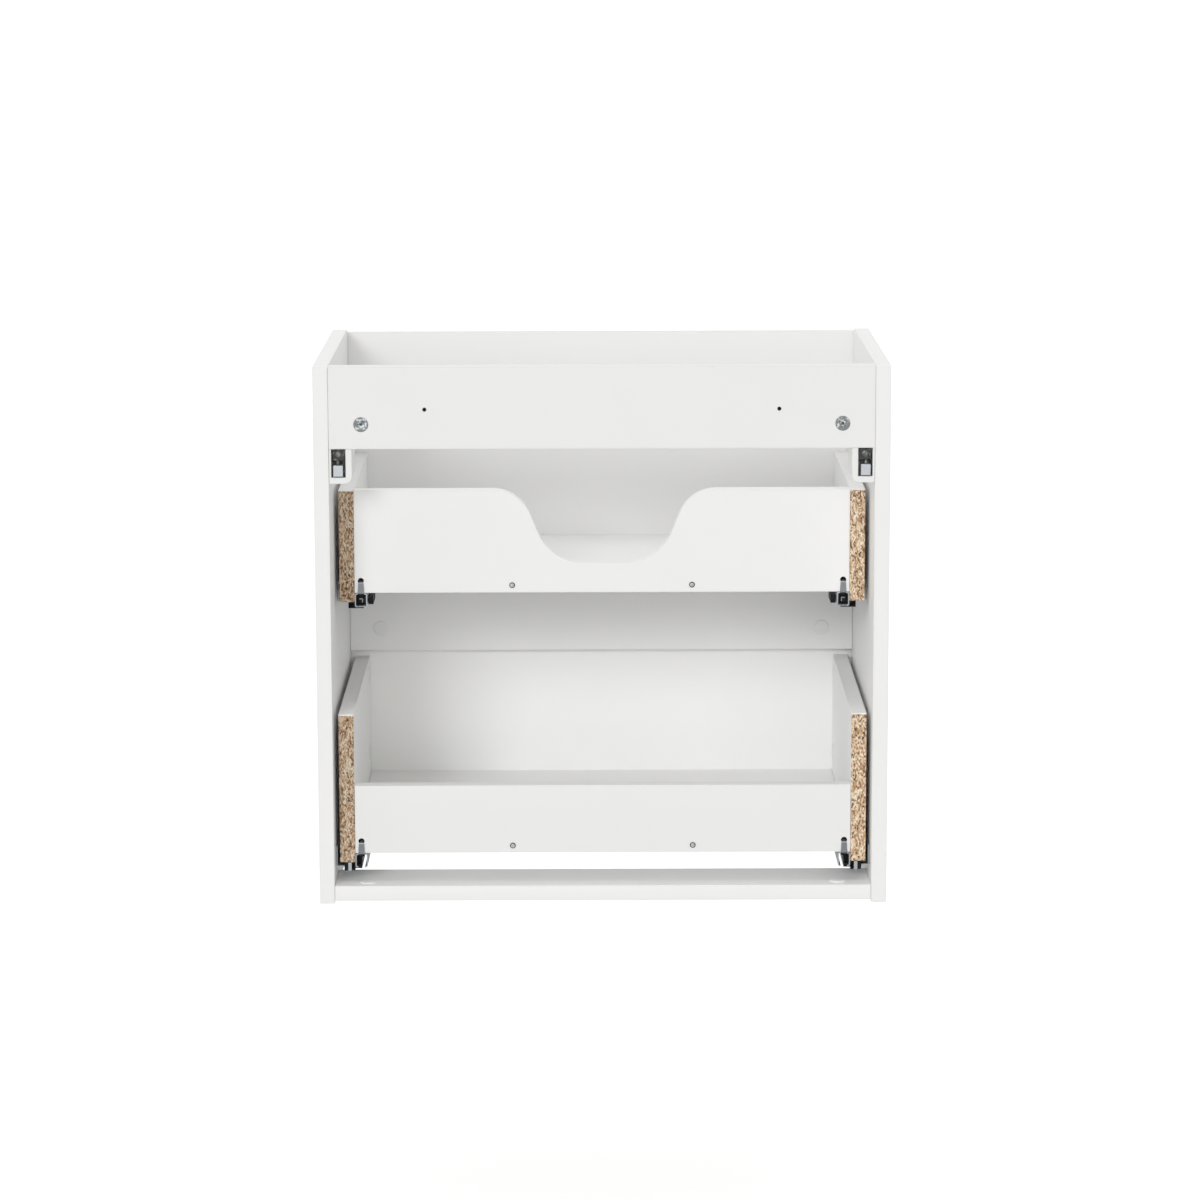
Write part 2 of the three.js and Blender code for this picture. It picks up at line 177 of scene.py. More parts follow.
class Recipe:
    """The node tree of one finish on one piece, or of the studio's light."""

    def __init__(self, owner: Material | bpy.types.World) -> None:
        """Empties the node tree.

        Args:
            owner: the new material or world.
        """
        self.owner = owner
        owner.use_nodes = True
        self.tree = owner.node_tree
        self.tree.nodes.clear()
        self._place: Wire | None = None

    @classmethod
    def named(cls, name: str) -> "Recipe":
        """Starts a new material of that name."""
        return cls(bpy.data.materials.new(name))

    def node(
        self, kind: str, settings: dict[str, object], sockets: dict[object, Value], out: object = 0
    ) -> Wire:
        """Adds one node.

        Args:
            kind: the node's type.
            settings: what is set before the sockets, with a colour ramp's stops under "stops".
            sockets: a value or a wire for each input, by its name or number.
            out: the output that is used, by its name or number.

        Returns:
            The chosen output.
        """
        made = self.tree.nodes.new(kind)
        for key, value in settings.items():
            if key == "stops":
                self._set_stops(made.color_ramp, value)
            else:
                setattr(made, key, value)
        for key, value in sockets.items():
            if isinstance(value, Wire):
                self.tree.links.new(value.socket, made.inputs[key])
            else:
                made.inputs[key].default_value = value
        return Wire(self, made.outputs[out])

    @staticmethod
    def _set_stops(ramp: bpy.types.ColorRamp, stops: Iterable[tuple[float, Colour]]) -> None:
        """Sets a colour ramp's stops.

        Args:
            ramp: the ramp of a new Color Ramp node, which has two stops.
            stops: place and colour of each stop, in order.
        """
        for i, (place, colour) in enumerate(stops):
            stop = ramp.elements[i] if i < 2 else ramp.elements.new(place)
            stop.position = place
            stop.color = (*colour, 1.0)

    def place(self, stretch: Point | None = None) -> Wire:
        """The point on the piece, in metres.

        Args:
            stretch: scale along each axis, for a pattern that is drawn out.

        Returns:
            The point.
        """
        if self._place is None:
            self._place = self.node("ShaderNodeTexCoord", {}, {}, "Object")
        if stretch is None:
            return self._place
        return self.node("ShaderNodeMapping", {}, {"Vector": self._place, "Scale": stretch})

    def axis(self, name: str) -> Wire:
        """One coordinate of the point on the piece, "X", "Y" or "Z"."""
        return self.node("ShaderNodeSeparateXYZ", {}, {0: self.place()}, name)

    def noise(self, scale: float, detail: float, stretch: Point | None = None) -> Wire:
        """Cloudy noise from 0 to 1.

        Args:
            scale: cells in a metre.
            detail: octaves.
            stretch: scale along each axis, where the noise is drawn out.

        Returns:
            The noise's value.
        """
        sockets = {"Vector": self.place(stretch), "Scale": scale, "Detail": detail, "Roughness": 0.5}
        return self.node("ShaderNodeTexNoise", {}, sockets, "Fac")

    def cells(self, scale: float, channel: int = 0, stretch: Point | None = None) -> Wire:
        """Voronoi cells, each with a random value from 0 to 1.

        Args:
            scale: cells in a metre.
            channel: which of the cells' three random values is used.
            stretch: scale along each axis, where the cells are drawn out.

        Returns:
            The value.
        """
        sockets = {"Vector": self.place(stretch), "Scale": scale}
        colours = self.node("ShaderNodeTexVoronoi", {}, sockets, "Color")
        return self.node("ShaderNodeSeparateColor", {}, {0: colours}, channel)

    def blend(self, share: Value, first: Value, second: Value) -> Wire:
        """Two colours mixed by a share from 0 to 1."""
        pair = {0: share, 6: self._rgba(first), 7: self._rgba(second)}
        return self.node("ShaderNodeMix", {"data_type": "RGBA"}, pair, 2)

    @staticmethod
    def _rgba(colour: Value) -> Value:
        """A colour with its fourth number, or a wire as it is."""
        return colour if isinstance(colour, Wire) else (*colour, 1.0)

    def ramp(self, value: Wire, stops: Sequence[tuple[float, Colour]]) -> Wire:
        """A colour ramp over a value."""
        return self.node("ShaderNodeValToRGB", {"stops": stops}, {0: value})

    def bump(self, height: Wire, depth: float, strength: float = 1.0, under: Wire | None = None) -> Wire:
        """A bump from a height of 0 to 1.

        Args:
            height: the height.
            depth: how deep 1 is, in metres.
            strength: the bump's strength.
            under: the bump that this one lies on.

        Returns:
            The bent normal.
        """
        sockets: dict[object, Value] = {"Height": height, "Distance": depth, "Strength": strength}
        if under is not None:
            sockets["Normal"] = under
        return self.node("ShaderNodeBump", {}, sockets)

    def finish(self, sockets: dict[object, Value]) -> Material:
        """Ends the recipe with its shader.

        Args:
            sockets: the Principled shader's inputs.

        Returns:
            The material.
        """
        shader = self.node("ShaderNodeBsdfPrincipled", {}, sockets)
        self.surface("ShaderNodeOutputMaterial", shader)
        return self.owner

    def surface(self, kind: str, shader: Wire) -> None:
        """Links a shader to the output node of that kind."""
        output = self.tree.nodes.new(kind)
        self.tree.links.new(shader.socket, output.inputs["Surface"])


# ------------------------------------------------------------------ finishes
def dimmed(colour: Colour, share: float) -> Colour:
    """A colour with a share of its light taken away."""
    return tuple(part * (1.0 - share) for part in colour)


@dataclass(frozen=True)
class Melamine:
    """White melamine-faced board: a fine pearl grain, faint mottling and the seam of its edge band."""

    low: Point
    high: Point
    base: Colour = (0.886, 0.884, 0.874)
    shade: Colour = (0.862, 0.857, 0.843)
    seam: float = 1.0 * MM

    def material(self, name: str) -> Material:
        """Makes the finish for one board.

        Args:
            name: the material's name.

        Returns:
            The material.
        """
        r = Recipe.named(name)
        mottle = r.noise(14.0, 3.0).rise(0.35, 0.75)
        speck = r.noise(900.0, 1.0).rise(0.66, 0.8)
        edge, line = self._near_edges(r)
        wear = edge * r.noise(160.0, 4.0).rise(0.56, 0.72)
        colour = r.blend(mottle * 0.35 + speck * 0.18, self.base, self.shade)
        colour = r.blend(line * 0.35, colour, (0.62, 0.61, 0.58))
        colour = r.blend(wear * 0.18, colour, (0.70, 0.69, 0.66))
        rough = 0.40 + 0.10 * r.noise(60.0, 3.0) + 0.12 * wear
        grain = r.bump(r.noise(1500.0, 2.0), 0.00004, 0.35)
        wave = r.bump(r.noise(22.0, 1.0), 0.0004, 0.06, grain)
        return r.finish({"Base Color": colour, "Roughness": rough, "Normal": wave, "IOR": 1.48})

    def _near_edges(self, r: Recipe) -> tuple[Wire, Wire]:
        """Finds the board's corners and the seam beside them.

        Args:
            r: the recipe that the nodes go in.

        Returns:
            How near the point is to an edge of the board, and the line of the edge band's seam.
        """
        gaps = []
        for name, low, high in zip("XYZ", self.low, self.high):
            along = r.axis(name)
            gaps.append((along - low).least(high - along))
        flat, mid, far = gaps
        # The second smallest of the three distances is the distance to the nearest corner line.
        second = flat.least(mid).most(flat.most(mid).least(far))
        line = 1.0 - (second - self.seam).size().rise(0.00005, 0.00022)
        return 1.0 - second.rise(0.0, 0.004), line


@dataclass(frozen=True)
class RawBoard:
    """Bare chipboard at a board's sawn end: pressed flakes with dark gaps between them."""

    light: Colour = (0.76, 0.52, 0.31)
    dark: Colour = (0.060, 0.026, 0.010)
    # Painted shade: a share of light taken from every tone of the chipboard.
    wood_painted_shade: float = 0.0

    def material(self, name: str) -> Material:
        """Makes the finish.

        Args:
            name: the material's name.

        Returns:
            The material.
        """
        r = Recipe.named(name)
        drawn = (1.5, 1.0, 0.75)
        flake = r.cells(520.0, 0, drawn)
        fine = r.cells(1150.0, 1, (1.0, 1.0, 0.6))
        tone = flake * 0.75 + fine * 0.25 + (r.noise(90.0, 2.0) - 0.5) * 0.35
        stops = [
            (0.10, self.dark), (0.24, (0.27, 0.125, 0.050)), (0.43, (0.53, 0.315, 0.160)),
            (0.64, self.light), (0.88, (0.93, 0.81, 0.64)),
        ]
        # The stops and the dark gaps are dimmed by the painted shade share.
        stops = [(place, dimmed(tint, self.wood_painted_shade)) for place, tint in stops]
        pit = r.noise(650.0, 2.0, drawn).rise(0.60, 0.70)
        colour = r.blend(pit * 0.85, r.ramp(tone, stops), dimmed(self.dark, self.wood_painted_shade))
        normal = r.bump(tone - pit, 0.0004, 0.8)
        return r.finish({"Base Color": colour, "Roughness": 0.86 - 0.1 * flake, "Normal": normal})


@dataclass(frozen=True)
class ZincSheet:
    """Zinc-plated rolled sheet: drawn streaks along its length, a faint spangle and small scuffs."""

    base: Colour = (0.47, 0.50, 0.53)
    shade: Colour = (0.30, 0.325, 0.355)
    rough: float = 0.34
    along: Point = (900.0, 14.0, 900.0)

    def material(self, name: str) -> Material:
        """Makes the finish.

        Args:
            name: the material's name.

        Returns:
            The material.
        """
        r = Recipe.named(name)
        streak = r.noise(1.0, 3.0, self.along)
        spangle = r.cells(260.0)
        scuff = r.noise(420.0, 3.0).rise(0.62, 0.74)
        colour = r.blend(streak * 0.45 + spangle * 0.25, self.base, self.shade)
        colour = r.blend(scuff * 0.30, colour, (0.74, 0.76, 0.78))
        rough = self.rough + 0.16 * streak + 0.10 * scuff
        normal = r.bump(streak + 0.3 * spangle, 0.00003, 0.5)
        return r.finish({"Base Color": colour, "Roughness": rough, "Metallic": 0.85, "Normal": normal})


@dataclass(frozen=True)
class CastZinc:
    """Die-cast zinc: a grainy grey skin with brighter rubbed spots."""

    base: Colour = (0.33, 0.355, 0.365)
    bright: Colour = (0.74, 0.78, 0.80)

    def material(self, name: str) -> Material:
        """Makes the finish.

        Args:
            name: the material's name.

        Returns:
            The material.
        """
        r = Recipe.named(name)
        grain = r.noise(1300.0, 3.0)
        rubbed = r.noise(260.0, 3.0).rise(0.50, 0.62)
        colour = r.blend(rubbed * 0.8, self.base, self.bright)
        normal = r.bump(grain, 0.00008, 0.5)
        rough = 0.44 - 0.18 * rubbed + 0.12 * grain
        return r.finish({"Base Color": colour, "Roughness": rough, "Metallic": 0.8, "Normal": normal})


@dataclass(frozen=True)
class DarkSteel:
    """Black-passivated steel with worn grey corners of its coating."""

    base: Colour = (0.014, 0.014, 0.015)
    worn: Colour = (0.10, 0.105, 0.11)

    def material(self, name: str) -> Material:
        """Makes the finish.

        Args:
            name: the material's name.

        Returns:
            The material.
        """
        r = Recipe.named(name)
        patch = r.noise(380.0, 4.0).rise(0.48, 0.70)
        colour = r.blend(patch * 0.6, self.base, self.worn)
        normal = r.bump(r.noise(1600.0, 2.0), 0.00006, 0.5)
        rough = 0.52 - 0.14 * patch
        sockets = {"Base Color": colour, "Roughness": rough, "Metallic": 0.5, "Normal": normal}
        return r.finish({**sockets, "Specular IOR Level": 0.25})


class Tint(Enum):
    """Colours of moulded plastic, each with its lighter worn tone."""

    WHITE = ((0.83, 0.83, 0.81), (0.88, 0.88, 0.87))
    BLACK = ((0.003, 0.003, 0.0035), (0.018, 0.018, 0.020))
    GREY = ((0.15, 0.16, 0.17), (0.26, 0.27, 0.28))


@dataclass(frozen=True)
class Moulded:
    """Injection-moulded plastic with a spark-eroded grain and faint flow marks."""

    tint: Tint

    def material(self, name: str) -> Material:
        """Makes the finish.

        Args:
            name: the material's name.

        Returns:
            The material.
        """
        r = Recipe.named(name)
        base, worn = self.tint.value
        flow = r.noise(55.0, 2.0, (1.0, 1.0, 3.0)).rise(0.40, 0.75)
        rub = r.noise(500.0, 3.0).rise(0.58, 0.74)
        colour = r.blend(flow * 0.30 + rub * 0.35, base, worn)
        rough = 0.38 + 0.12 * flow + 0.10 * rub
        normal = r.bump(r.noise(2400.0, 2.0), 0.00005, 0.4)
        gloss = 0.5 if self.tint is Tint.WHITE else 0.10
        sockets = {"Base Color": colour, "Roughness": rough, "Normal": normal}
        return r.finish({**sockets, "Specular IOR Level": gloss})


@dataclass(frozen=True)
class StudioFloor:
    """Seamless matt paper for the studio floor, flagged so that it throws back little light."""

    base: Colour = (0.97, 0.97, 0.97)
    flagged: Colour = (0.42, 0.42, 0.415)
    glow: float = 0.34

    def material(self, name: str) -> Material:
        """Makes the finish.

        Args:
            name: the material's name.

        Returns:
            The material.
        """
        r = Recipe.named(name)
        tone = r.blend(r.noise(3.0, 2.0) * 0.1, self.base, (0.95, 0.95, 0.95))
        paper = r.node(
            "ShaderNodeBsdfPrincipled", {},
            {
                "Base Color": tone, "Roughness": 1.0,
                "Emission Color": (1.0, 1.0, 1.0, 1.0), "Emission Strength": self.glow,
            },
        )
        flag = r.node("ShaderNodeBsdfDiffuse", {}, {"Color": (*self.flagged, 1.0)})
        seen = r.node("ShaderNodeLightPath", {}, {}, "Is Camera Ray")
        mixed = r.node("ShaderNodeMixShader", {}, {0: seen, 1: flag, 2: paper})
        r.surface("ShaderNodeOutputMaterial", mixed)
        return r.owner


Finish = Union[Melamine, RawBoard, ZincSheet, CastZinc, DarkSteel, Moulded, StudioFloor]


BLOCK_STEEL = DarkSteel((0.030, 0.030, 0.029), (0.22, 0.22, 0.21))
HOOK_ZINC = ZincSheet((0.56, 0.59, 0.62), (0.40, 0.43, 0.47), 0.42)
SHADED_ZINC = ZincSheet((0.26, 0.275, 0.29), (0.17, 0.18, 0.195))
# Painted shade: darker zinc for the rear faces of the drawer rail's tongue.
TONGUE_PAINTED_SHADE = ZincSheet((0.21, 0.225, 0.24), (0.15, 0.16, 0.175))
CAM_FACE = CastZinc((0.20, 0.215, 0.22), (0.88, 0.92, 0.94))
# Zinc of the screw face, brightened to near white as a painted highlight.
SCREW_ZINC_PAINTED_HIGHLIGHT = CastZinc((0.55, 0.58, 0.59), (0.90, 0.92, 0.92))
# Painted shade: a near-black coned rim stands for the countersink's shadow round the screw head.
SCREW_RIM_PAINTED_SHADE = CastZinc((0.035, 0.04, 0.04), (0.10, 0.105, 0.105))
HEAD_STEEL = CastZinc((0.10, 0.105, 0.10), (0.26, 0.27, 0.26))
SPINDLE_STEEL = CastZinc((0.16, 0.165, 0.165), (0.40, 0.41, 0.41))
BALL_STEEL = CastZinc((0.6, 0.62, 0.64), (0.8, 0.8, 0.8))


# ------------------------------------------------------------------ the bench
class Pick(Enum):
    """What an edit works on, as Blender's select mode names it."""

    POINTS = "VERT"
    EDGES = "EDGE"
    FACES = "FACE"


class Bench:
    """Hand tools. Each call leaves its piece active in object mode, with its place in its mesh."""

    @staticmethod
    def take(*pieces: Piece) -> None:
        """Selects only these pieces and makes the first one active."""
        bpy.ops.object.select_all(action="DESELECT")
        for piece in pieces:
            piece.select_set(True)
        bpy.context.view_layer.objects.active = pieces[0]

    @staticmethod
    def _new(name: str) -> Piece:
        """Names the primitive just added and moves its place into its mesh."""
        piece = bpy.context.object
        piece.name = name
        piece.data.name = name
        bpy.ops.object.transform_apply(location=True, rotation=True, scale=True)
        return piece

    @classmethod
    def block(cls, name: str, low: Point, high: Point) -> Piece:
        """Adds a block between two corners.

        Args:
            name: the piece's name.
            low: one corner.
            high: the opposite corner.

        Returns:
            The piece.
        """
        a, b = Vector(low), Vector(high)
        size = Vector([abs(d) for d in b - a])
        bpy.ops.object.select_all(action="DESELECT")
        bpy.ops.mesh.primitive_cube_add(size=1.0, location=(a + b) / 2, scale=size)
        return cls._new(name)

    @classmethod
    def rod(cls, name: str, start: Point, end: Point, radius: float, sides: int = 32) -> Piece:
        """Adds a rod between two points.

        Args:
            name: the piece's name.
            start: the middle of one end.
            end: the middle of the other end.
            radius: the rod's radius, in millimetres.
            sides: how many sides it has.

        Returns:
            The piece.
        """
        a, b = Vector(start), Vector(end)
        turn = (b - a).to_track_quat("Z", "Y").to_euler()
        bpy.ops.object.select_all(action="DESELECT")
        bpy.ops.mesh.primitive_cylinder_add(
            vertices=sides, radius=radius * MM, depth=(b - a).length, location=(a + b) / 2, rotation=turn
        )
        return cls._new(name)

    @classmethod
    def edit(cls, piece: Piece, kind: Pick, test: Callable, *steps: Callable[[], object]) -> None:
        """Selects parts of a piece by their place and works on them in edit mode.

        Args:
            piece: the piece.
            kind: what is selected.
            test: says whether a point, edge or face is selected, given its centre and the element.
            steps: the operators, each wrapped in a function.
        """
        cls.take(piece)
        bpy.ops.object.mode_set(mode="EDIT")
        bpy.context.tool_settings.mesh_select_mode = (
            kind is Pick.POINTS, kind is Pick.EDGES, kind is Pick.FACES,
        )
        bpy.ops.mesh.select_all(action="DESELECT")
        shape = bmesh.from_edit_mesh(piece.data)
        if kind is Pick.POINTS:
            for point in shape.verts:
                point.select_set(bool(test(point.co, point)))
        elif kind is Pick.EDGES:
            for edge in shape.edges:
                edge.select_set(bool(test((edge.verts[0].co + edge.verts[1].co) / 2, edge)))
        else:
            for face in shape.faces:
                face.select_set(bool(test(face.calc_center_median(), face)))
        bmesh.update_edit_mesh(piece.data)
        for step in steps:
            step()
        bpy.ops.object.mode_set(mode="OBJECT")

    @staticmethod
    def inset(width: float) -> Callable[[], object]:
        """A step that insets the selected faces by a width in millimetres."""
        return lambda: bpy.ops.mesh.inset(thickness=width * MM, depth=0.0)

    @staticmethod
    def pull(x: float, y: float, z: float) -> Callable[[], object]:
        """A step that extrudes the selection by a move in millimetres."""
        return lambda: bpy.ops.mesh.extrude_region_move(TRANSFORM_OT_translate={"value": mm(x, y, z)})

    @staticmethod
    def slide(x: float, y: float, z: float) -> Callable[[], object]:
        """A step that moves the selection, in millimetres."""
        return lambda: bpy.ops.transform.translate(value=mm(x, y, z))

    @staticmethod
    def chamfer(width: float, segments: int = 1) -> Callable[[], object]:
        """A step that bevels the selected edges by a width in millimetres."""
        return lambda: bpy.ops.mesh.bevel(offset=width * MM, segments=segments, affect="EDGES")

    @classmethod
    def slice(cls, piece: Piece, point: Point, normal: Point) -> None:
        """Cuts a line round a piece where a plane meets it.

        Args:
            piece: the piece.
            point: a point on the plane.
            normal: the plane's normal.
        """
        cls.edit(
            piece, Pick.FACES, lambda at, face: True,
            lambda: bpy.ops.mesh.bisect(plane_co=point, plane_no=normal),
        )

    @classmethod
    def strip(cls, name: str, path: Sequence[tuple[float, float]], start: float, end: float) -> Piece:
        """Folds a strip of sheet: a flat plane along the first leg, extruded leg by leg.

        Args:
            name: the piece's name.
            path: the fold's points across the strip, as x and z.
            start: y of one end.
            end: y of the other end.

        Returns:
            The sheet, without thickness.
        """
        (x0, z0), (x1, z1) = path[:2]
        middle = Vector(((x0 + x1) / 2, (start + end) / 2, (z0 + z1) / 2))
        lean = -math.atan2(z1 - z0, x1 - x0)
        bpy.ops.object.select_all(action="DESELECT")
        bpy.ops.mesh.primitive_plane_add(size=1.0, location=middle, rotation=(0.0, lean, 0.0))
        piece = bpy.context.object
        piece.scale = (math.hypot(x1 - x0, z1 - z0), end - start, 1.0)
        cls._new(name)
        for (xa, za), (xb, zb) in zip(path[1:], path[2:]):
            def tail(at: Vector, edge: bmesh.types.BMEdge, x: float = xa, z: float = za) -> bool:
                """Whether an edge runs along the sheet's last fold."""
                return all(math.hypot(v.co.x - x, v.co.z - z) < 1e-6 for v in edge.verts)
            cls.edit(piece, Pick.EDGES, tail, cls.pull((xb - xa) / MM, 0.0, (zb - za) / MM))
        return piece

    @classmethod
    def thicken(cls, piece: Piece, thickness: float) -> None:
        """Gives a sheet its thickness.

        Args:
            piece: the sheet.
            thickness: its thickness, in millimetres.
        """
        cls.take(piece)
        solid = piece.modifiers.new("thickness", "SOLIDIFY")
        solid.thickness = thickness * MM
        solid.offset = -1.0
        solid.use_even_offset = True
        bpy.ops.object.modifier_apply(modifier=solid.name)

    @classmethod
    def soften(cls, piece: Piece, width: float, segments: int = 2, angle: float = 40.0) -> None:
        """Breaks a piece's sharp edges and shades it.

        Args:
            piece: the piece.
            width: the bevel's width, in millimetres.
            segments: its segments.
            angle: edges sharper than this many degrees are bevelled.
        """
        cls.take(piece)
        bevel = piece.modifiers.new("edges", "BEVEL")
        bevel.width = width * MM
        bevel.segments = segments
        bevel.limit_method = "ANGLE"
        bevel.angle_limit = math.radians(angle)
        bevel.miter_outer = "MITER_ARC"
        bpy.ops.object.modifier_apply(modifier=bevel.name)
        bpy.ops.object.shade_smooth_by_angle(angle=SMOOTH_BELOW)

    @classmethod
    def cut(cls, piece: Piece, *tools: Piece) -> None:
        """Cuts tools out of a piece and throws them away.

        Args:
            piece: the piece.
            tools: the solids that are cut away.
        """
        for tool in tools:
            cls.take(piece)
            hollow = piece.modifiers.new("cut", "BOOLEAN")
            hollow.operation = "DIFFERENCE"
            hollow.solver = "EXACT"
            hollow.object = tool
            bpy.ops.object.modifier_apply(modifier=hollow.name)
            bpy.data.objects.remove(tool)

    @classmethod
    def join(cls, piece: Piece, *others: Piece) -> Piece:
        """Joins other pieces into one.

        Args:
            piece: the piece that stays.
            others: the pieces that go into it.

        Returns:
            The joined piece.
        """
        cls.take(piece, *others)
        bpy.ops.object.join()
        return piece

    @classmethod
    def copy(
        cls, piece: Piece, name: str, move: Point = (0.0, 0.0, 0.0), turn: Point = (0.0, 0.0, 0.0)
    ) -> Piece:
        """Copies a piece with its own mesh, turns it about the origin and moves it.

        Args:
            piece: the piece that is copied.
            name: the copy's name.
            move: the move, in metres.
            turn: the turn about each axis, in degrees.

        Returns:
            The copy.
        """
        cls.take(piece)
        bpy.ops.object.duplicate(linked=False)
        twin = bpy.context.object
        twin.name = name
        twin.data.name = name
        twin.rotation_euler = [math.radians(angle) for angle in turn]
        twin.location = move
        bpy.ops.object.transform_apply(location=True, rotation=True, scale=True)
        return twin

    @classmethod
    def mirror(cls, piece: Piece, name: str) -> Piece:
        """Copies a piece to the other side of the cabinet's middle.

        Args:
            piece: the piece that is mirrored.
            name: the copy's name.

        Returns:
            The copy, its faces outwards.
        """
        twin = cls.copy(piece, name)
        cls.edit(
            twin, Pick.FACES, lambda at, face: True,
            lambda: bpy.ops.transform.resize(value=(-1.0, 1.0, 1.0), center_override=(0.0, 0.0, 0.0)),
            lambda: bpy.ops.mesh.normals_make_consistent(inside=False),
        )
        return twin

    @classmethod
    def refine(cls, node: str, name: str) -> Piece:
        """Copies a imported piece's shape, merged and with its flat faces whole.

        Args:
            node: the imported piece.
            name: the copy's name.

        Returns:
            The copy.
        """
        source = frame["nodes"][node]
        piece = bpy.data.objects.new(name, source.data.copy())
        bpy.context.scene.collection.objects.link(piece)
        piece.data.materials.clear()
        cls.edit(
            piece, Pick.POINTS, lambda at, point: True,
            lambda: bpy.ops.mesh.remove_doubles(threshold=0.00001),
            lambda: bpy.ops.mesh.dissolve_limited(angle_limit=math.radians(1.0)),
        )
        bpy.ops.mesh.customdata_custom_splitnormals_clear()
        return piece


class Shop:
    """Puts finished pieces on their bodies and keeps count of them."""

    def __init__(self) -> None:
        """Starts with no pieces."""
        self.count = 0

    def fit(
        self, piece: Piece, node: str, finish: Finish, stands_in: bool = True
    ) -> Piece:
        """Dresses a piece and lets it ride.

        Args:
            piece: the finished piece.
            node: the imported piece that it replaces, or that it moves with.
            finish: its finish.
            stands_in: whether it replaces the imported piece.

        Returns:
            The piece.
        """
        body = BODY_OF[node]
        piece.data.materials.clear()
        piece.data.materials.append(finish.material(f"{piece.name}_finish"))
        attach(piece, body)
        if stands_in:
            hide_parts(node)
        self.count += 1
        log.info("%3d %s on %s, %d faces", self.count, piece.name, body, len(piece.data.polygons))
        return piece


def repaint(piece: Piece, finish: Finish, name: str, test: Callable[[bpy.types.MeshPolygon], bool]) -> None:
    """Gives some faces of a dressed piece another finish.

    Args:
        piece: the piece.
        finish: the other finish.
        name: its material's name.
        test: says whether a face has it.
    """
    piece.data.materials.append(finish.material(name))
    for face in piece.data.polygons:
        face.material_index = int(test(face))


# ------------------------------------------------------------------ boards
@dataclass(frozen=True)
class Hole:
    """A drilled hole: the middle of its mouth, its radius and depth in millimetres and its way in."""

    mouth: Vector
    radius: float
    depth: float
    way: Point = (0.0, 1.0, 0.0)

    def holds(self, point: Vector) -> bool:
        """Whether a point lies on the hole's wall or bottom."""
        arm = point - self.mouth
        depth = arm.dot(Vector(self.way))
        return depth > 0.15 * MM and (arm - Vector(self.way) * depth).length < (self.radius + 0.1) * MM

    @classmethod
    def pair(cls, x: float, y: float, z: float, *size: object) -> list["Hole"]:
        """The same hole on both sides of the cabinet's middle."""
        return [cls(at(s * x, y, z), *size) for s in (-1, 1)]


@dataclass
class Board:
    """One melamine-faced board, drilled and with broken edges."""

    node: str
    holes: list[Hole] = field(default_factory=list)
    bare_end: bool = False
    edge: float = 0.45
    band: float = 1.1
    # Painted shade: the grey share dims the board's white, and a negative share brightens it as painted
    # light.
    grey: float = 0.0
    # Painted shade share for the bare chipboard end.
    wood_painted_shade: float = 0.0

    def build(self, shop: Shop) -> Piece:
        """Makes, drills and dresses the board.

        Args:
            shop: where the piece goes.

        Returns:
            The piece.
        """
        low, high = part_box(self.node)
        name = f"{self.node}_board"
        piece = Bench.block(name, low, high)
        if self.bare_end:
            Bench.slice(piece, (0.0, 0.0, high.z - self.band * MM), (0.0, 0.0, 1.0))
        for i, hole in enumerate(self.holes):
            start = hole.mouth - Vector(hole.way) * 2 * MM
            end = hole.mouth + Vector(hole.way) * hole.depth * MM
            Bench.cut(piece, Bench.rod(f"drill_{i}", start, end, hole.radius, 36))
        Bench.soften(piece, self.edge)
        finish = Melamine(tuple(low), tuple(high))
        # Painted shade or painted light: the board's white is dimmed or brightened to stand in for how light
        # falls on it.
        if self.grey:
            base, shade = (dimmed(tone, self.grey) for tone in (finish.base, finish.shade))
            finish = replace(finish, base=base, shade=shade)
        shop.fit(piece, self.node, finish)
        if self.bare_end:
            end, top = low.y + 0.5 * MM, high.z - (self.band + 0.05) * MM
            # The bare end's chipboard gets the painted shade share.
            wood = RawBoard(wood_painted_shade=self.wood_painted_shade)
            repaint(piece, wood, f"{name}_bare", lambda face: face.center.y < end and face.center.z < top)
        elif self.holes:
            show_drilled_in_painted_shade(piece, self.holes)
        return piece


def show_drilled_in_painted_shade(piece: Piece, holes: Sequence[Hole]) -> None:
    """Shows chipboard inside a board's holes, darkened with painted shade."""
    repaint(
        piece, RawBoard(wood_painted_shade=HOLE_PAINTED_SHADE), f"{piece.name}_bare",
        lambda face: any(hole.holds(face.center) for hole in holes),
    )


@dataclass
class DippedBack:
    """The upper drawer's back, with the smooth dip that clears the drain."""

    holes: list[Hole]
    node: str = "upper_drawer_back"

    def build(self, shop: Shop) -> Piece:
        """Makes and dresses the board.

        Args:
            shop: where the piece goes.

        Returns:
            The piece.
        """
        low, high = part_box(self.node)
        piece = Bench.refine(self.node, f"{self.node}_board")
        Bench.soften(piece, 0.45, 2, 50.0)
        shop.fit(piece, self.node, Melamine(tuple(low), tuple(high)))
        show_drilled_in_painted_shade(piece, self.holes)
        return piece


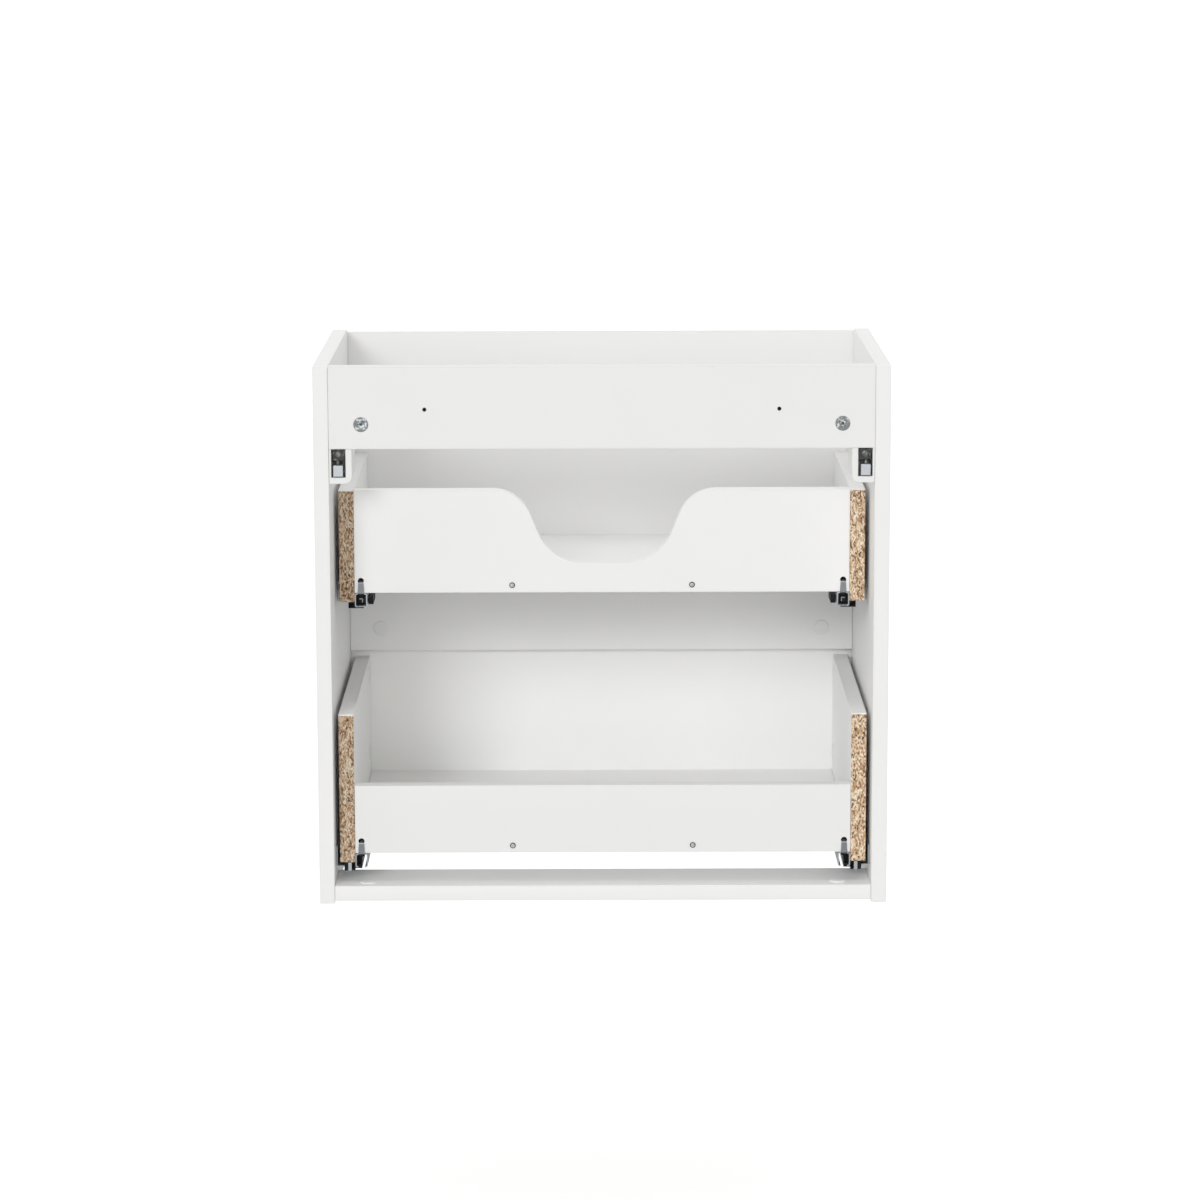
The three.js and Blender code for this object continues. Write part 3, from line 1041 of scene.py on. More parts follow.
# ------------------------------------------------------------------ carcass
@dataclass
class Carcass:
    """The cabinet's side panels and rails with the fittings in them. Sizes are in millimetres."""

    cam_x: float = 250.0
    cam_z: float = 511.5
    pilot_x: float = 184.0
    pilot_z: float = 527.0
    cap_x: float = 249.0
    cap_y: float = 334.0
    cap_z: float = 234.4
    low_cap: tuple[float, float, float] = (249.5, 17.5, 19.0)
    # Painted shade that dims the rear top rail's white.
    rear_painted_shade: float = 0.05

    def build(self, shop: Shop, cap: Piece) -> None:
        """Makes the boards and their fittings.

        Args:
            shop: where the pieces go.
            cap: the cover cap that is copied.
        """
        for side in ("left", "right"):
            Board(f"side_panel_{side}").build(shop)
        cams = Hole.pair(self.cam_x, 0.0, self.cam_z, 7.8, 13.5)
        pilots = Hole.pair(self.pilot_x, 0.0, self.pilot_z, 2.2, 11.0)
        rear_holes = [hole for pair in zip(cams, pilots) for hole in pair]
        Board("rear_top_rail", rear_holes, grey=self.rear_painted_shade).build(shop)
        cap_hole = (7.5, 12.5)
        Board("front_mid_rail", Hole.pair(self.cap_x, self.cap_y, self.cap_z, *cap_hole)).build(shop)
        x, y, z = self.low_cap
        Board("rear_bottom_rail", Hole.pair(x, y, z, *cap_hole, (0.0, 0.0, -1.0))).build(shop)
        cam = self._cam()
        for s, side in BOTH_SIDES:
            node = f"rear_rail_cam_{side}"
            place = at(s * self.cam_x, 0.2, self.cam_z)
            piece = Bench.copy(cam, f"{node}_turned", place, (0.0, 40.0 + 15.0 * s, 0.0))
            shop.fit(piece, node, CAM_FACE)
            node = f"mid_rail_cap_{side}"
            piece = Bench.copy(cap, f"{node}_pressed", at(s * self.cap_x, self.cap_y, self.cap_z))
            shop.fit(piece, node, Moulded(Tint.WHITE))
            node = f"bottom_rail_cap_{side}"
            piece = Bench.copy(cap, f"{node}_pressed", at(s * x, y, z), (-90.0, 0.0, 0.0))
            shop.fit(piece, node, Moulded(Tint.WHITE))
        bpy.data.objects.remove(cam)

    @staticmethod
    def _cam() -> Piece:
        """Turns the cam of a joint fitting, its face towards the rear at the origin.

        Returns:
            The cam, with a dished face, a raised middle and a cross recess.
        """
        cam = Bench.rod("cam", (0, 0, 0), mm(0, 12.8, 0), 7.4, 44)
        Bench.edit(
            cam, Pick.FACES, facing(0, -1, 0),
            Bench.inset(1.25), Bench.pull(0, 1.1, 0), Bench.inset(0.5),
            Bench.pull(0, -0.5, 0), Bench.inset(1.5), Bench.pull(0, -0.5, 0),
            Bench.inset(1.1), Bench.slide(0, 0.9, 0),
        )
        Bench.cut(
            cam,
            Bench.block("slot_a", mm(-4.1, -1, -0.6), mm(4.1, 2.6, 0.6)),
            Bench.block("slot_b", mm(-0.6, -1, -4.1), mm(0.6, 2.6, 4.1)),
            Bench.rod("centre", mm(0, -1, 0), mm(0, 9, 0), 1.7, 28),
            Bench.block("mark", mm(4.9, -1, -0.5), mm(8, 0.9, 0.5)),
        )
        Bench.soften(cam, 0.12, 1, 30.0)
        return cam


def pressed_cap() -> Piece:
    """Makes a push-in cover cap, its dome towards the rear at the origin.

    Returns:
        The cap, with a shallow dome and a slotted stem.
    """
    cap = Bench.rod("cap", mm(0, -0.05, 0), mm(0, -0.75, 0), 8.4, 48)
    Bench.edit(
        cap, Pick.FACES, facing(0, -1, 0),
        Bench.inset(0.8), Bench.slide(0, -0.45, 0),
        Bench.inset(2.4), Bench.slide(0, -0.28, 0),
        Bench.inset(2.6), Bench.slide(0, -0.08, 0),
    )
    Bench.edit(
        cap, Pick.FACES, facing(0, 1, 0),
        Bench.inset(4.2), Bench.pull(0, 5.2, 0), Bench.inset(0.5), Bench.slide(0, 0.4, 0),
    )
    Bench.cut(cap, Bench.block("stem_slot", mm(-0.6, 1.2, -6), mm(0.6, 8, 6)))
    Bench.soften(cap, 0.15, 2, 50.0)
    return cap


# ------------------------------------------------------------------ wall hangers
@dataclass
class Hangers:
    """Plastic housings under the rear rail, each with an adjusting block, its screw and a hook bar."""

    block_x: float = 273.4
    block_low: float = 473.4
    block_top: float = 484.2
    hook_x: float = 274.3
    hook_low: float = 456.9
    hook_top: float = 468.2

    def build(self, shop: Shop) -> None:
        """Makes both hangers.

        Args:
            shop: where the pieces go.
        """
        for side in ("left", "right"):
            node = f"hanger_housing_{side}"
            housing = Bench.refine(node, f"{node}_moulded")
            Bench.soften(housing, 0.55, 3, 40.0)
            shop.fit(housing, node, Moulded(Tint.WHITE))
        for part, slot, finish, own_node in (
            (self._block(), "dark_steel", BLOCK_STEEL, "hanger_block"),
            (self._hook(), "zinc_plated_steel", HOOK_ZINC, "hanger_hook"),
            (self._screw(), "dark_steel", HEAD_STEEL, ""),
            (self._spindle(), "dark_steel", SPINDLE_STEEL, ""),
            (self._frame(), "dark_steel", DarkSteel(), ""),
        ):
            twin = Bench.mirror(part, part.name.replace("right", "left"))
            for piece, side in ((part, "right"), (twin, "left")):
                shop.fit(piece, f"{own_node or 'hanger_block'}_{side}", finish, bool(own_node))

    def _block(self) -> Piece:
        """Cuts the adjusting block, with a row of teeth along its top.

        Returns:
            The block for the right-hand hanger.
        """
        x0, x1 = self.block_x - 6.3, self.block_x + 6.3
        low, high = at(x0, 4, self.block_low), at(x1, 48, self.block_top)
        block = Bench.block("hanger_block_right_toothed", low, high)
        pitch = (x1 - x0) / 9
        for i in range(1, 9):
            Bench.slice(block, at(x0 + i * pitch, 0, 0), (1.0, 0.0, 0.0))
        top = self.block_top * MM

        def tooth(where: Vector, face: bmesh.types.BMFace) -> bool:
            """Whether a face of the top becomes a tooth."""
            return where.z > top - 0.1 * MM and int((where.x / MM - x0) / pitch) % 2 == 1

        Bench.edit(block, Pick.FACES, tooth, Bench.pull(0, 0, 0.85))
        Bench.soften(block, 0.28, 2)
        return block

    def _frame(self) -> Piece:
        """Folds the steel frame that guides the hook bar: two cheeks and a plate above the bar.

        Returns:
            The frame for the right-hand hanger.
        """
        low, top = 456.0, self.block_low - 0.2
        frame_piece = Bench.block("hanger_frame_right", at(266.8, 5, low), at(281.0, 48, top))
        Bench.cut(
            frame_piece,
            Bench.block("track", at(269.0, 0, low - 5), at(279.6, 60, self.hook_top + 0.4)),
            Bench.block("spindle_room", at(269.0, 0, low), at(279.6, 12.5, top + 5)),
        )
        Bench.soften(frame_piece, 0.2, 2)
        return frame_piece

    def _screw(self) -> Piece:
        """Turns the pan head of the adjusting screw, with its cross recess.

        Returns:
            The screw for the right-hand hanger.
        """
        x, z = self.block_x + 0.4, 479.6
        head = Bench.rod("hanger_screw_right", at(x, 4.3, z), at(x, 3.2, z), 3.6, 32)
        Bench.edit(
            head, Pick.FACES, facing(0, -1, 0),
            Bench.inset(0.7), Bench.slide(0, -0.6, 0), Bench.inset(0.9), Bench.slide(0, -0.3, 0),
        )
        for dx, dz in ((2.0, 0.45), (0.45, 2.0)):
            Bench.cut(head, Bench.block("recess", at(x - dx, 1.0, z - dz), at(x + dx, 3.4, z + dz)))
        Bench.soften(head, 0.15, 2, 30.0)
        return head

    def _spindle(self) -> Piece:
        """Turns the threaded spindle between the block and the hook bar.

        Returns:
            The spindle for the right-hand hanger.
        """
        x = self.hook_x + 0.6
        start, end = at(x, 9.5, self.hook_top + 0.5), at(x, 9.5, 474.5)
        spindle = Bench.rod("hanger_spindle_right", start, end, 1.9, 28)
        for i in range(4):
            z = self.hook_top + 1.2 + i * 1.1
            Bench.slice(spindle, at(x, 9.5, z), (0.12, 0.0, 1.0))
            Bench.slice(spindle, at(x, 9.5, z + 0.45), (0.12, 0.0, 1.0))

        def crest(where: Vector, face: bmesh.types.BMFace) -> bool:
            """Whether a face lies on a crest of the thread."""
            turn = (where.z / MM - self.hook_top - 1.2 + 0.12 * (where.x / MM - x)) % 1.1
            return abs(face.normal.z) < 0.5 and turn < 0.45

        Bench.edit(spindle, Pick.FACES, crest, lambda: bpy.ops.mesh.extrude_region_shrink_fatten(
            TRANSFORM_OT_shrink_fatten={"value": 0.25 * MM}))
        Bench.soften(spindle, 0.06, 1)
        return spindle

    def _hook(self) -> Piece:
        """Cuts the hook bar, notched underneath for the wall's rail.

        Returns:
            The hook bar for the right-hand hanger.
        """
        x, low, top = self.hook_x, self.hook_low, self.hook_top
        hook = Bench.block("hanger_hook_right_notched", at(x - 5, 0.6, low), at(x + 5, 44, top))
        Bench.cut(
            hook,
            Bench.block("notch", at(x - 6, 3.6, low - 5), at(x + 6, 6.8, low + 6.1)),
            Bench.block("lead", at(x - 6, -1, top - 0.9), at(x + 6, 1.6, top + 2)),
            Bench.rod("pivot", at(x - 6, 36, 462.5), at(x + 6, 36, 462.5), 2.4, 28),
        )
        Bench.soften(hook, 0.4, 3)
        return hook


# ------------------------------------------------------------------ drawers
@dataclass
class DrawerBox:
    """One drawer's boards and their screws. Sizes are in millimetres."""

    level: str
    rear: float
    floor: float
    side_caps: tuple[float, ...] = ()
    # Painted shade shares for the front, the sides and floor, and the back; a negative share paints light on
    # instead.
    front_grey: float = 0.0
    inner_painted_shade: float = 0.0
    back_grey: float = 0.0
    hook_x: float = 256.2
    hook_up: float = 12.8
    hook_radius: float = 3.3
    screw_x: float = 95.5
    screw_up: float = 7.8
    screw_radius: float = 2.1
    side_cap_x: float = 263.0
    side_cap_y: float = 327.0
    # Painted shadow on the left sides' bare ends, which the left panel shades.
    left_stain: float = 0.28

    def build(self, shop: Shop, cap: Piece, screw: Piece) -> None:
        """Makes the drawer.

        Args:
            shop: where the pieces go.
            cap: the cover cap that is copied.
            screw: the screw that is copied.
        """
        name = f"{self.level}_drawer"
        # The left side's bare end gets painted shadow.
        for side, wood_painted_shade in (("left", self.left_stain), ("right", 0.0)):
            Board(f"{name}_side_{side}", bare_end=True, grey=self.inner_painted_shade, wood_painted_shade=wood_painted_shade).build(shop)
        screw_z, through = self.floor + self.screw_up, 17.0
        holes = Hole.pair(self.hook_x, self.rear, self.floor + self.hook_up, self.hook_radius, through)
        holes += Hole.pair(self.screw_x, self.rear, screw_z, self.screw_radius, through)
        rear = Board(f"{name}_back", holes, grey=self.back_grey)
        if self.level == "upper":
            rear = DippedBack(holes)
        rear.build(shop)
        holes = Hole.pair(self.screw_x, self.rear + 16.3, screw_z, self.screw_radius, through)
        # The floor's bare end, behind the back's holes, is darkened with painted shade.
        Board(f"{name}_floor", holes, bare_end=True, grey=self.inner_painted_shade, wood_painted_shade=0.9).build(shop)
        Board(f"{name}_front", grey=self.front_grey).build(shop)
        for i, s in ((1, -1), (2, 1)):
            node = f"{name}_back_screw_{i}"
            place = at(s * self.screw_x, self.rear, screw_z)
            piece = Bench.copy(screw, f"{node}_turned", place, (0.0, 25.0 * i, 0.0))
            shop.fit(piece, node, SCREW_ZINC_PAINTED_HIGHLIGHT)
            # The coned rim gets painted shade.
            repaint(
                piece, SCREW_RIM_PAINTED_SHADE, f"{node}_rim",
                lambda face: face.normal.y > -0.93 and face.center.y < place.y,
            )
        for i, z in enumerate(self.side_caps, 1):
            for s, side in BOTH_SIDES:
                place = at(s * self.side_cap_x, self.side_cap_y, z)
                piece = Bench.copy(cap, f"{name}_side_cap_{side}_{i}", place, (0.0, 0.0, -90.0 * s))
                shop.fit(piece, f"{name}_side_{side}", Moulded(Tint.WHITE), False)


def turned_screw() -> Piece:
    """Turns a small screw, its head towards the rear at the origin.

    Returns:
        The screw, with a coned rim, a cross recess and a plain shank.
    """
    screw = Bench.rod("screw", mm(0, -0.1, 0), mm(0, -0.55, 0), 3.1, 32)
    Bench.edit(
        screw, Pick.FACES, facing(0, -1, 0),
        Bench.inset(1.15), Bench.slide(0, -0.75, 0), Bench.inset(0.25), Bench.slide(0, -0.08, 0),
    )
    Bench.edit(
        screw, Pick.FACES, facing(0, 1, 0),
        Bench.inset(1.4), Bench.pull(0, 24, 0), Bench.inset(1.1), Bench.slide(0, 4, 0),
    )
    for dx, dz in ((1.25, 0.22), (0.22, 1.25)):
        Bench.cut(screw, Bench.block("recess", mm(-dx, -2, -dz), mm(dx, -0.75, dz)))
    Bench.soften(screw, 0.08, 1, 30.0)
    return screw


# ------------------------------------------------------------------ slides
@dataclass
class Slides:
    """The pair of undermount slides below one drawer. Sizes are in millimetres."""

    level: str
    rear: float
    floor: float
    full_stop: bool
    axis: float = 256.2
    wall: float = 283.7
    cabinet_end: float = 347.0
    hole_steps: tuple[float, ...] = (37.0, 69.0, 165.0, 229.0)
    hook_up: float = 11.4

    def build(self, shop: Shop) -> None:
        """Makes the right-hand slide and mirrors it.

        Args:
            shop: where the pieces go.
        """
        zinc, black = ZincSheet(), Moulded(Tint.BLACK)
        parts = [
            (self._cabinet_rail(), "cabinet_rail", "zinc_plated_steel", zinc, True),
            (self._end_stop(), "end_stop", "black_plastic", black, True),
            (self._cage(), "ball_cage", "black_plastic", black, True),
            (self._balls(), "ball_cage", "zinc_plated_steel", BALL_STEEL, False),
            (self._middle_rail(), "middle_rail", "zinc_plated_steel", zinc, True),
            (self._drawer_rail(), "drawer_rail", "zinc_plated_steel", zinc, True),
        ]
        parts += [
            (screw, "cabinet_rail", "zinc_plated_steel", CastZinc(), False) for screw in self._fixing_screws()
        ]
        tab_finish = SHADED_ZINC if self.full_stop else zinc
        parts.append((self._end_tab(), "cabinet_rail", "zinc_plated_steel", tab_finish, False))
        if self.full_stop:
            parts.append((self._clip(), "drawer_rail", "black_plastic", black, False))
        for part, piece_name, slot, finish, stands_in in parts:
            twin = Bench.mirror(part, part.name.replace("right", "left"))
            for piece, side in ((part, "right"), (twin, "left")):
                shop.fit(piece, f"{self.level}_{side}_{piece_name}", finish, stands_in)
        for side in ("left", "right"):
            rail = bpy.data.objects[f"{self.level}_{side}_drawer_rail_folded"]
            # The tongue's rear faces get painted shade.
            repaint(rail, TONGUE_PAINTED_SHADE, f"{rail.name}_tongue", self._on_tongue)
            for piece_name, slot, tint in (
                ("latch_housing", "grey_plastic", Tint.GREY), ("latch_lever", "black_plastic", Tint.BLACK),
            ):
                node = f"{self.level}_{side}_{piece_name}"
                piece = Bench.refine(node, f"{node}_moulded")
                Bench.soften(piece, 0.3, 2, 50.0)
                shop.fit(piece, node, Moulded(tint))

    def _on_tongue(self, face: bpy.types.MeshPolygon) -> bool:
        """Whether a face of the drawer's rail is the rear of its tongue, which gets painted shade."""
        low, high = (self.floor + 0.5) * MM, (self.floor + self.hook_up - 1.5) * MM
        return low < face.center.z < high and face.normal.y < -0.5

    def _name(self, word: str) -> str:
        """The name of a piece of the right-hand slide."""
        return f"{self.level}_right_{word}"

    def _path(self, points: Iterable[tuple[float, float]]) -> list[tuple[float, float]]:
        """A fold's points in metres, from x across and w above the floor's underside in millimetres."""
        return [(x * MM, (self.floor + w) * MM) for x, w in points]

    def _fold(self, word: str, points: Sequence[tuple[float, float]], start: float, end: float,
              thickness: float) -> Piece:
        """Folds a rail from sheet.

        Args:
            word: the piece's own word in its name.
            points: the fold's points across the rail, its outside on the left of the way it runs.
            start: y of the rear end.
            end: y of the front end.
            thickness: the sheet's thickness.

        Returns:
            The rail.
        """
        y0, y1 = at(0, start, 0).y, at(0, end, 0).y
        rail = Bench.strip(self._name(word), self._path(points), y0, y1)
        Bench.thicken(rail, thickness)
        return rail

    def _drawer_rail(self) -> Piece:
        """Folds the drawer's rail, an upturned U with curled lips and a tongue at its rear.

        Returns:
            The rail.
        """
        a = self.axis
        half = [(3.4, -15.5), (4.5, -15.5), (5.5, -15.2), (6.2, -14.5), (6.5, -13.5),
                (6.5, -2.5), (6.2, -1.5), (5.5, -0.8), (4.5, -0.5)]
        points = [(a - x, w) for x, w in half] + [(a + x, w) for x, w in reversed(half)]
        rail = self._fold("drawer_rail_folded", points, self.rear - 1.5, 338.0, 1.1)
        tongue = self._tongue()
        Bench.join(rail, tongue)
        Bench.soften(rail, 0.22, 2, 50.0)
        return rail

    def _tongue(self) -> Piece:
        """Bends the tongue: a tapered tab that rises behind the drawer's back and turns into its hole.

        Returns:
            The tongue.
        """
        a, y, top = self.axis, self.rear - 1.5, self.floor + self.hook_up
        low = self.floor - 1.6
        middle = at(a, y, (low + top - 1.0) / 2)
        bpy.ops.object.select_all(action="DESELECT")
        bpy.ops.mesh.primitive_plane_add(size=1.0, location=middle, rotation=(math.pi / 2, 0.0, 0.0))
        tongue = bpy.context.object
        tongue.scale = (7.2 * MM, (top - 1.0 - low) * MM, 1.0)
        tongue.name = "tongue"
        bpy.ops.object.transform_apply(location=True, rotation=True, scale=True)
        centre = mm(a, 0.0, 0.0)

        def narrow(share: float) -> Callable[[], object]:
            """A step that narrows the selected edge."""
            return lambda: bpy.ops.transform.resize(value=(share, 1.0, 1.0), center_override=centre)

        Bench.edit(
            tongue, Pick.EDGES, lambda where, edge: where.z > (top - 1.2) * MM,
            narrow(0.80), Bench.pull(0, 0.35, 0.65), narrow(0.94),
            Bench.pull(0, 0.75, 0.35), narrow(0.76), Bench.pull(0, 12.4, 0),
        )
        Bench.thicken(tongue, 1.2)
        return tongue

    def _middle_rail(self) -> Piece:
        """Folds the middle rail.

        Returns:
            The rail.
        """
        a = self.axis
        half = [(4.6, -13.2), (4.6, -3.9), (4.1, -3.4)]
        points = [(a - x, w) for x, w in half] + [(a + x, w) for x, w in reversed(half)]
        rail = self._fold("middle_rail_folded", points, self.rear + 46.0, 342.0, 0.9)
        Bench.soften(rail, 0.18, 2, 50.0)
        return rail

    def _cabinet_rail(self) -> Piece:
        """Folds the cabinet's rail: a flange, a ribbed web and a riser with a T-shaped head.

        Returns:
            The rail, with the screw holes punched in its flange.
        """
        a, wall = self.axis, self.wall
        points = [
            (wall, 5.0), (wall, -16.4), (wall - 0.8, -17.2), (273.6, -17.2), (273.1, -14.6), (268.5, -14.6),
            (268.1, -17.2), (a + 0.2, -17.2), (a - 0.6, -16.4), (a - 0.6, -6.6),
        ]
        start = self.rear + 10.0
        rail = self._fold("cabinet_rail_folded", points, start, self.cabinet_end, 1.2)
        head = self._fold("rail_head", [(a - 2.0, -6.4), (a + 2.0, -6.4)], start, self.cabinet_end, 1.2)
        for y in self._hole_places():
            z = self.floor - 1.0
            Bench.cut(rail, Bench.rod("punch", at(wall - 4, y, z), at(wall + 3, y, z), 2.4, 28))
        if self.full_stop:
            f = self.floor
            low, high = at(270.4, start - 1, f - 20), at(wall + 2, start + 36, f + 8)
            Bench.cut(rail, Bench.block("notch", low, high))
        Bench.join(rail, head)
        Bench.soften(rail, 0.2, 2, 50.0)
        return rail

    def _end_tab(self) -> Piece:
        """Folds the tab at the cabinet rail's rear end: a plate below the bumper or a rib in its foot.

        Returns:
            The tab.
        """
        a, f, y = self.axis, self.floor, self.rear
        if self.full_stop:
            low, high = at(a - 3.2, y + 0.1, f - 15.5), at(a + 3.2, y + 0.6, f - 14.3)
            tab = Bench.block(self._name("rail_end_tab"), low, high)
            outline = [(a - 1.8, -11.5), (a - 1.8, -7.0), (a + 2.2, -7.0)]
            hook = self._fold("hook", outline, y + 5.0, y + 8.3, 1.0)
            Bench.join(tab, hook)
        else:
            low, high = at(a + 10.8, y + 0.2, f - 19.4), at(a + 14.4, y + 0.7, f - 10.6)
            tab = Bench.block(self._name("rail_end_tab"), low, high)
        Bench.edit(
            tab, Pick.FACES, lambda where, face: face.normal.y < -0.9 and where.y < at(0, y + 1.5, 0).y,
            Bench.inset(0.25), Bench.slide(0, -0.08, 0),
        )
        Bench.soften(tab, 0.08, 1)
        return tab

    def _clip(self) -> Piece:
        """Moulds the clip on the inner side of the upper drawer's rail.

        Returns:
            The clip.
        """
        a, f = self.axis, self.floor
        y = self.rear
        low, high = at(a - 12.5, y + 14, f - 15.0), at(a - 6.9, y + 50, f - 7.0)
        clip = Bench.block(self._name("rail_clip"), low, high)
        Bench.edit(
            clip, Pick.FACES, facing(-1, 0, 0),
            Bench.inset(1.0), Bench.pull(0.8, 0, 0),
        )
        Bench.soften(clip, 0.4, 2)
        return clip

    def _hole_places(self) -> list[float]:
        """Y of each hole in the flange, in millimetres."""
        length = self.cabinet_end - self.rear - 25.0
        return [self.cabinet_end - step for step in self.hole_steps if step < length]

    def _fixing_screws(self) -> list[Piece]:
        """Turns the pan-head screws that hold the flange to the side panel.

        Returns:
            The screws of the right-hand slide.
        """
        places = self._hole_places()[::2]
        x, z = self.wall - 1.25, self.floor - 1.0
        start, end = at(x, places[0], z), at(x - 0.7, places[0], z)
        first = Bench.rod(self._name("rail_screw_1"), start, end, 3.4, 28)
        Bench.edit(
            first, Pick.FACES, facing(-1, 0, 0),
            Bench.inset(0.6), Bench.slide(-0.5, 0, 0), Bench.inset(0.8), Bench.slide(-0.15, 0, 0),
        )
        for dy, dz in ((1.7, 0.35), (0.35, 1.7)):
            y = places[0]
            Bench.cut(first, Bench.block("recess", at(x - 3, y - dy, z - dz), at(x - 0.6, y + dy, z + dz)))
        Bench.soften(first, 0.1, 1, 30.0)
        copies = [
            Bench.copy(first, self._name(f"rail_screw_{i}"), (0.0, (y - places[0]) * MM, 0.0))
            for i, y in enumerate(places[1:], 2)
        ]
        return [first, *copies]

    def _end_stop(self) -> Piece:
        """Moulds the bumper on the cabinet rail's rear end.

        Returns:
            The bumper: a whole head, or the half nearer the side panel, with a foot beside it.
        """
        a, y0, y1, f = self.axis, self.rear + 0.8, self.rear + 9.7, self.floor
        inner = -4.8 if self.full_stop else -0.4
        stem = -2.8 if self.full_stop else -0.4
        low, high = at(a + inner, y0, f - 13.6), at(a + 4.8, y1, f - 2.2)
        stop = Bench.block(self._name("end_stop_moulded"), low, high)
        Bench.edit(
            stop, Pick.EDGES,
            lambda where, edge: (
                where.z > (f - 2.3) * MM and abs(edge.verts[0].co.y - edge.verts[1].co.y) > MM
            ),
            Bench.chamfer(1.1, 3),
        )
        for x in {stem, 2.8} - {inner}:
            Bench.slice(stop, at(a + x, 0, 0), (1.0, 0.0, 0.0))
        Bench.edit(
            stop, Pick.FACES,
            lambda where, face: face.normal.z < -0.9 and (a + stem) * MM < where.x < (a + 2.8) * MM,
            Bench.pull(0, 0, -3.3),
        )
        reach, deeper = (13.6, 0.0) if self.full_stop else (18.6, 2.5)
        foot = Bench.block("foot", at(a + 2.9, y0, f - 16.9), at(a + reach, y1, f - 15.8))
        Bench.slice(foot, at(a + 7.0, 0, 0), (1.0, 0.0, 0.0))
        Bench.edit(
            foot, Pick.FACES, lambda where, face: face.normal.z > 0.9 and where.x > (a + 7.0) * MM,
            Bench.pull(0, 0, 5.3),
        )
        if deeper:
            Bench.edit(
                foot, Pick.FACES, lambda where, face: face.normal.z < -0.9 and where.x > (a + 7.0) * MM,
                Bench.pull(0, 0, -deeper),
            )
        room = Bench.block("room", at(a + inner + 0.9, y0 - 1, f - 12.8), at(a + 3.9, y1 - 1.2, f - 3.2))
        Bench.cut(stop, room)
        low, high = at(a + 8.0, y0 - 1, f - 15.2 - deeper), at(a + 12.8, y1 - 1.2, f - 11.4)
        Bench.cut(foot, Bench.block("room", low, high))
        Bench.join(stop, foot)
        Bench.soften(stop, 0.25, 2, 40.0)
        return stop

    def _cage(self) -> Piece:
        """Moulds the ball cage, with a window in each leg for every ball.

        Returns:
            The cage.
        """
        a, f, y0 = self.axis, self.floor, self.rear + 110.0
        half = [(3.3, -11.0), (3.3, -5.3), (2.8, -4.75)]
        points = [(a - x, w) for x, w in half] + [(a + x, w) for x, w in reversed(half)]
        cage = self._fold("ball_cage_moulded", points, y0, y0 + 84.0, 0.9)
        for i in range(5):
            y = y0 + 12.0 + i * 15.0
            Bench.cut(cage, Bench.block("window", at(a - 4, y - 1.4, f - 9.8), at(a + 4, y + 1.4, f - 7.0)))
        Bench.soften(cage, 0.12, 1, 50.0)
        return cage

    def _balls(self) -> Piece:
        """Sets a steel ball in every window of the cage.

        Returns:
            The balls, as one piece.
        """
        a, f, y0 = self.axis, self.floor, self.rear + 110.0
        balls = []
        for i in range(5):
            for s in (-1, 1):
                bpy.ops.object.select_all(action="DESELECT")
                place = at(a + 2.85 * s, y0 + 12.0 + i * 15.0, f - 8.4)
                bpy.ops.mesh.primitive_uv_sphere_add(
                    segments=16, ring_count=10, radius=0.8 * MM, location=place
                )
                bpy.ops.object.transform_apply(location=True, rotation=True, scale=True)
                ball = bpy.context.object
                Bench.edit(ball, Pick.POINTS, lambda where, point: True,
                           lambda: bpy.ops.mesh.subdivide(number_cuts=1, smoothness=1.0))
                bpy.ops.object.shade_smooth()
                balls.append(ball)
        joined = Bench.join(*balls)
        joined.name = joined.data.name = self._name("ball_set")
        return joined


# ------------------------------------------------------------------ studio
@dataclass(frozen=True)
class Lamp:
    """A soft source far away: its strength, colour, the way its light goes and its spread in degrees."""

    name: str
    strength: float
    colour: Colour
    way: Point
    spread: float

    def hang(self) -> None:
        """Hangs the lamp."""
        lamp = bpy.data.lights.new(self.name, "SUN")
        lamp.energy = self.strength
        lamp.color = self.colour
        lamp.angle = math.radians(self.spread)
        holder = bpy.data.objects.new(self.name, lamp)
        holder.rotation_euler = Vector(self.way).to_track_quat("-Z", "Y").to_euler()
        bpy.context.scene.collection.objects.link(holder)


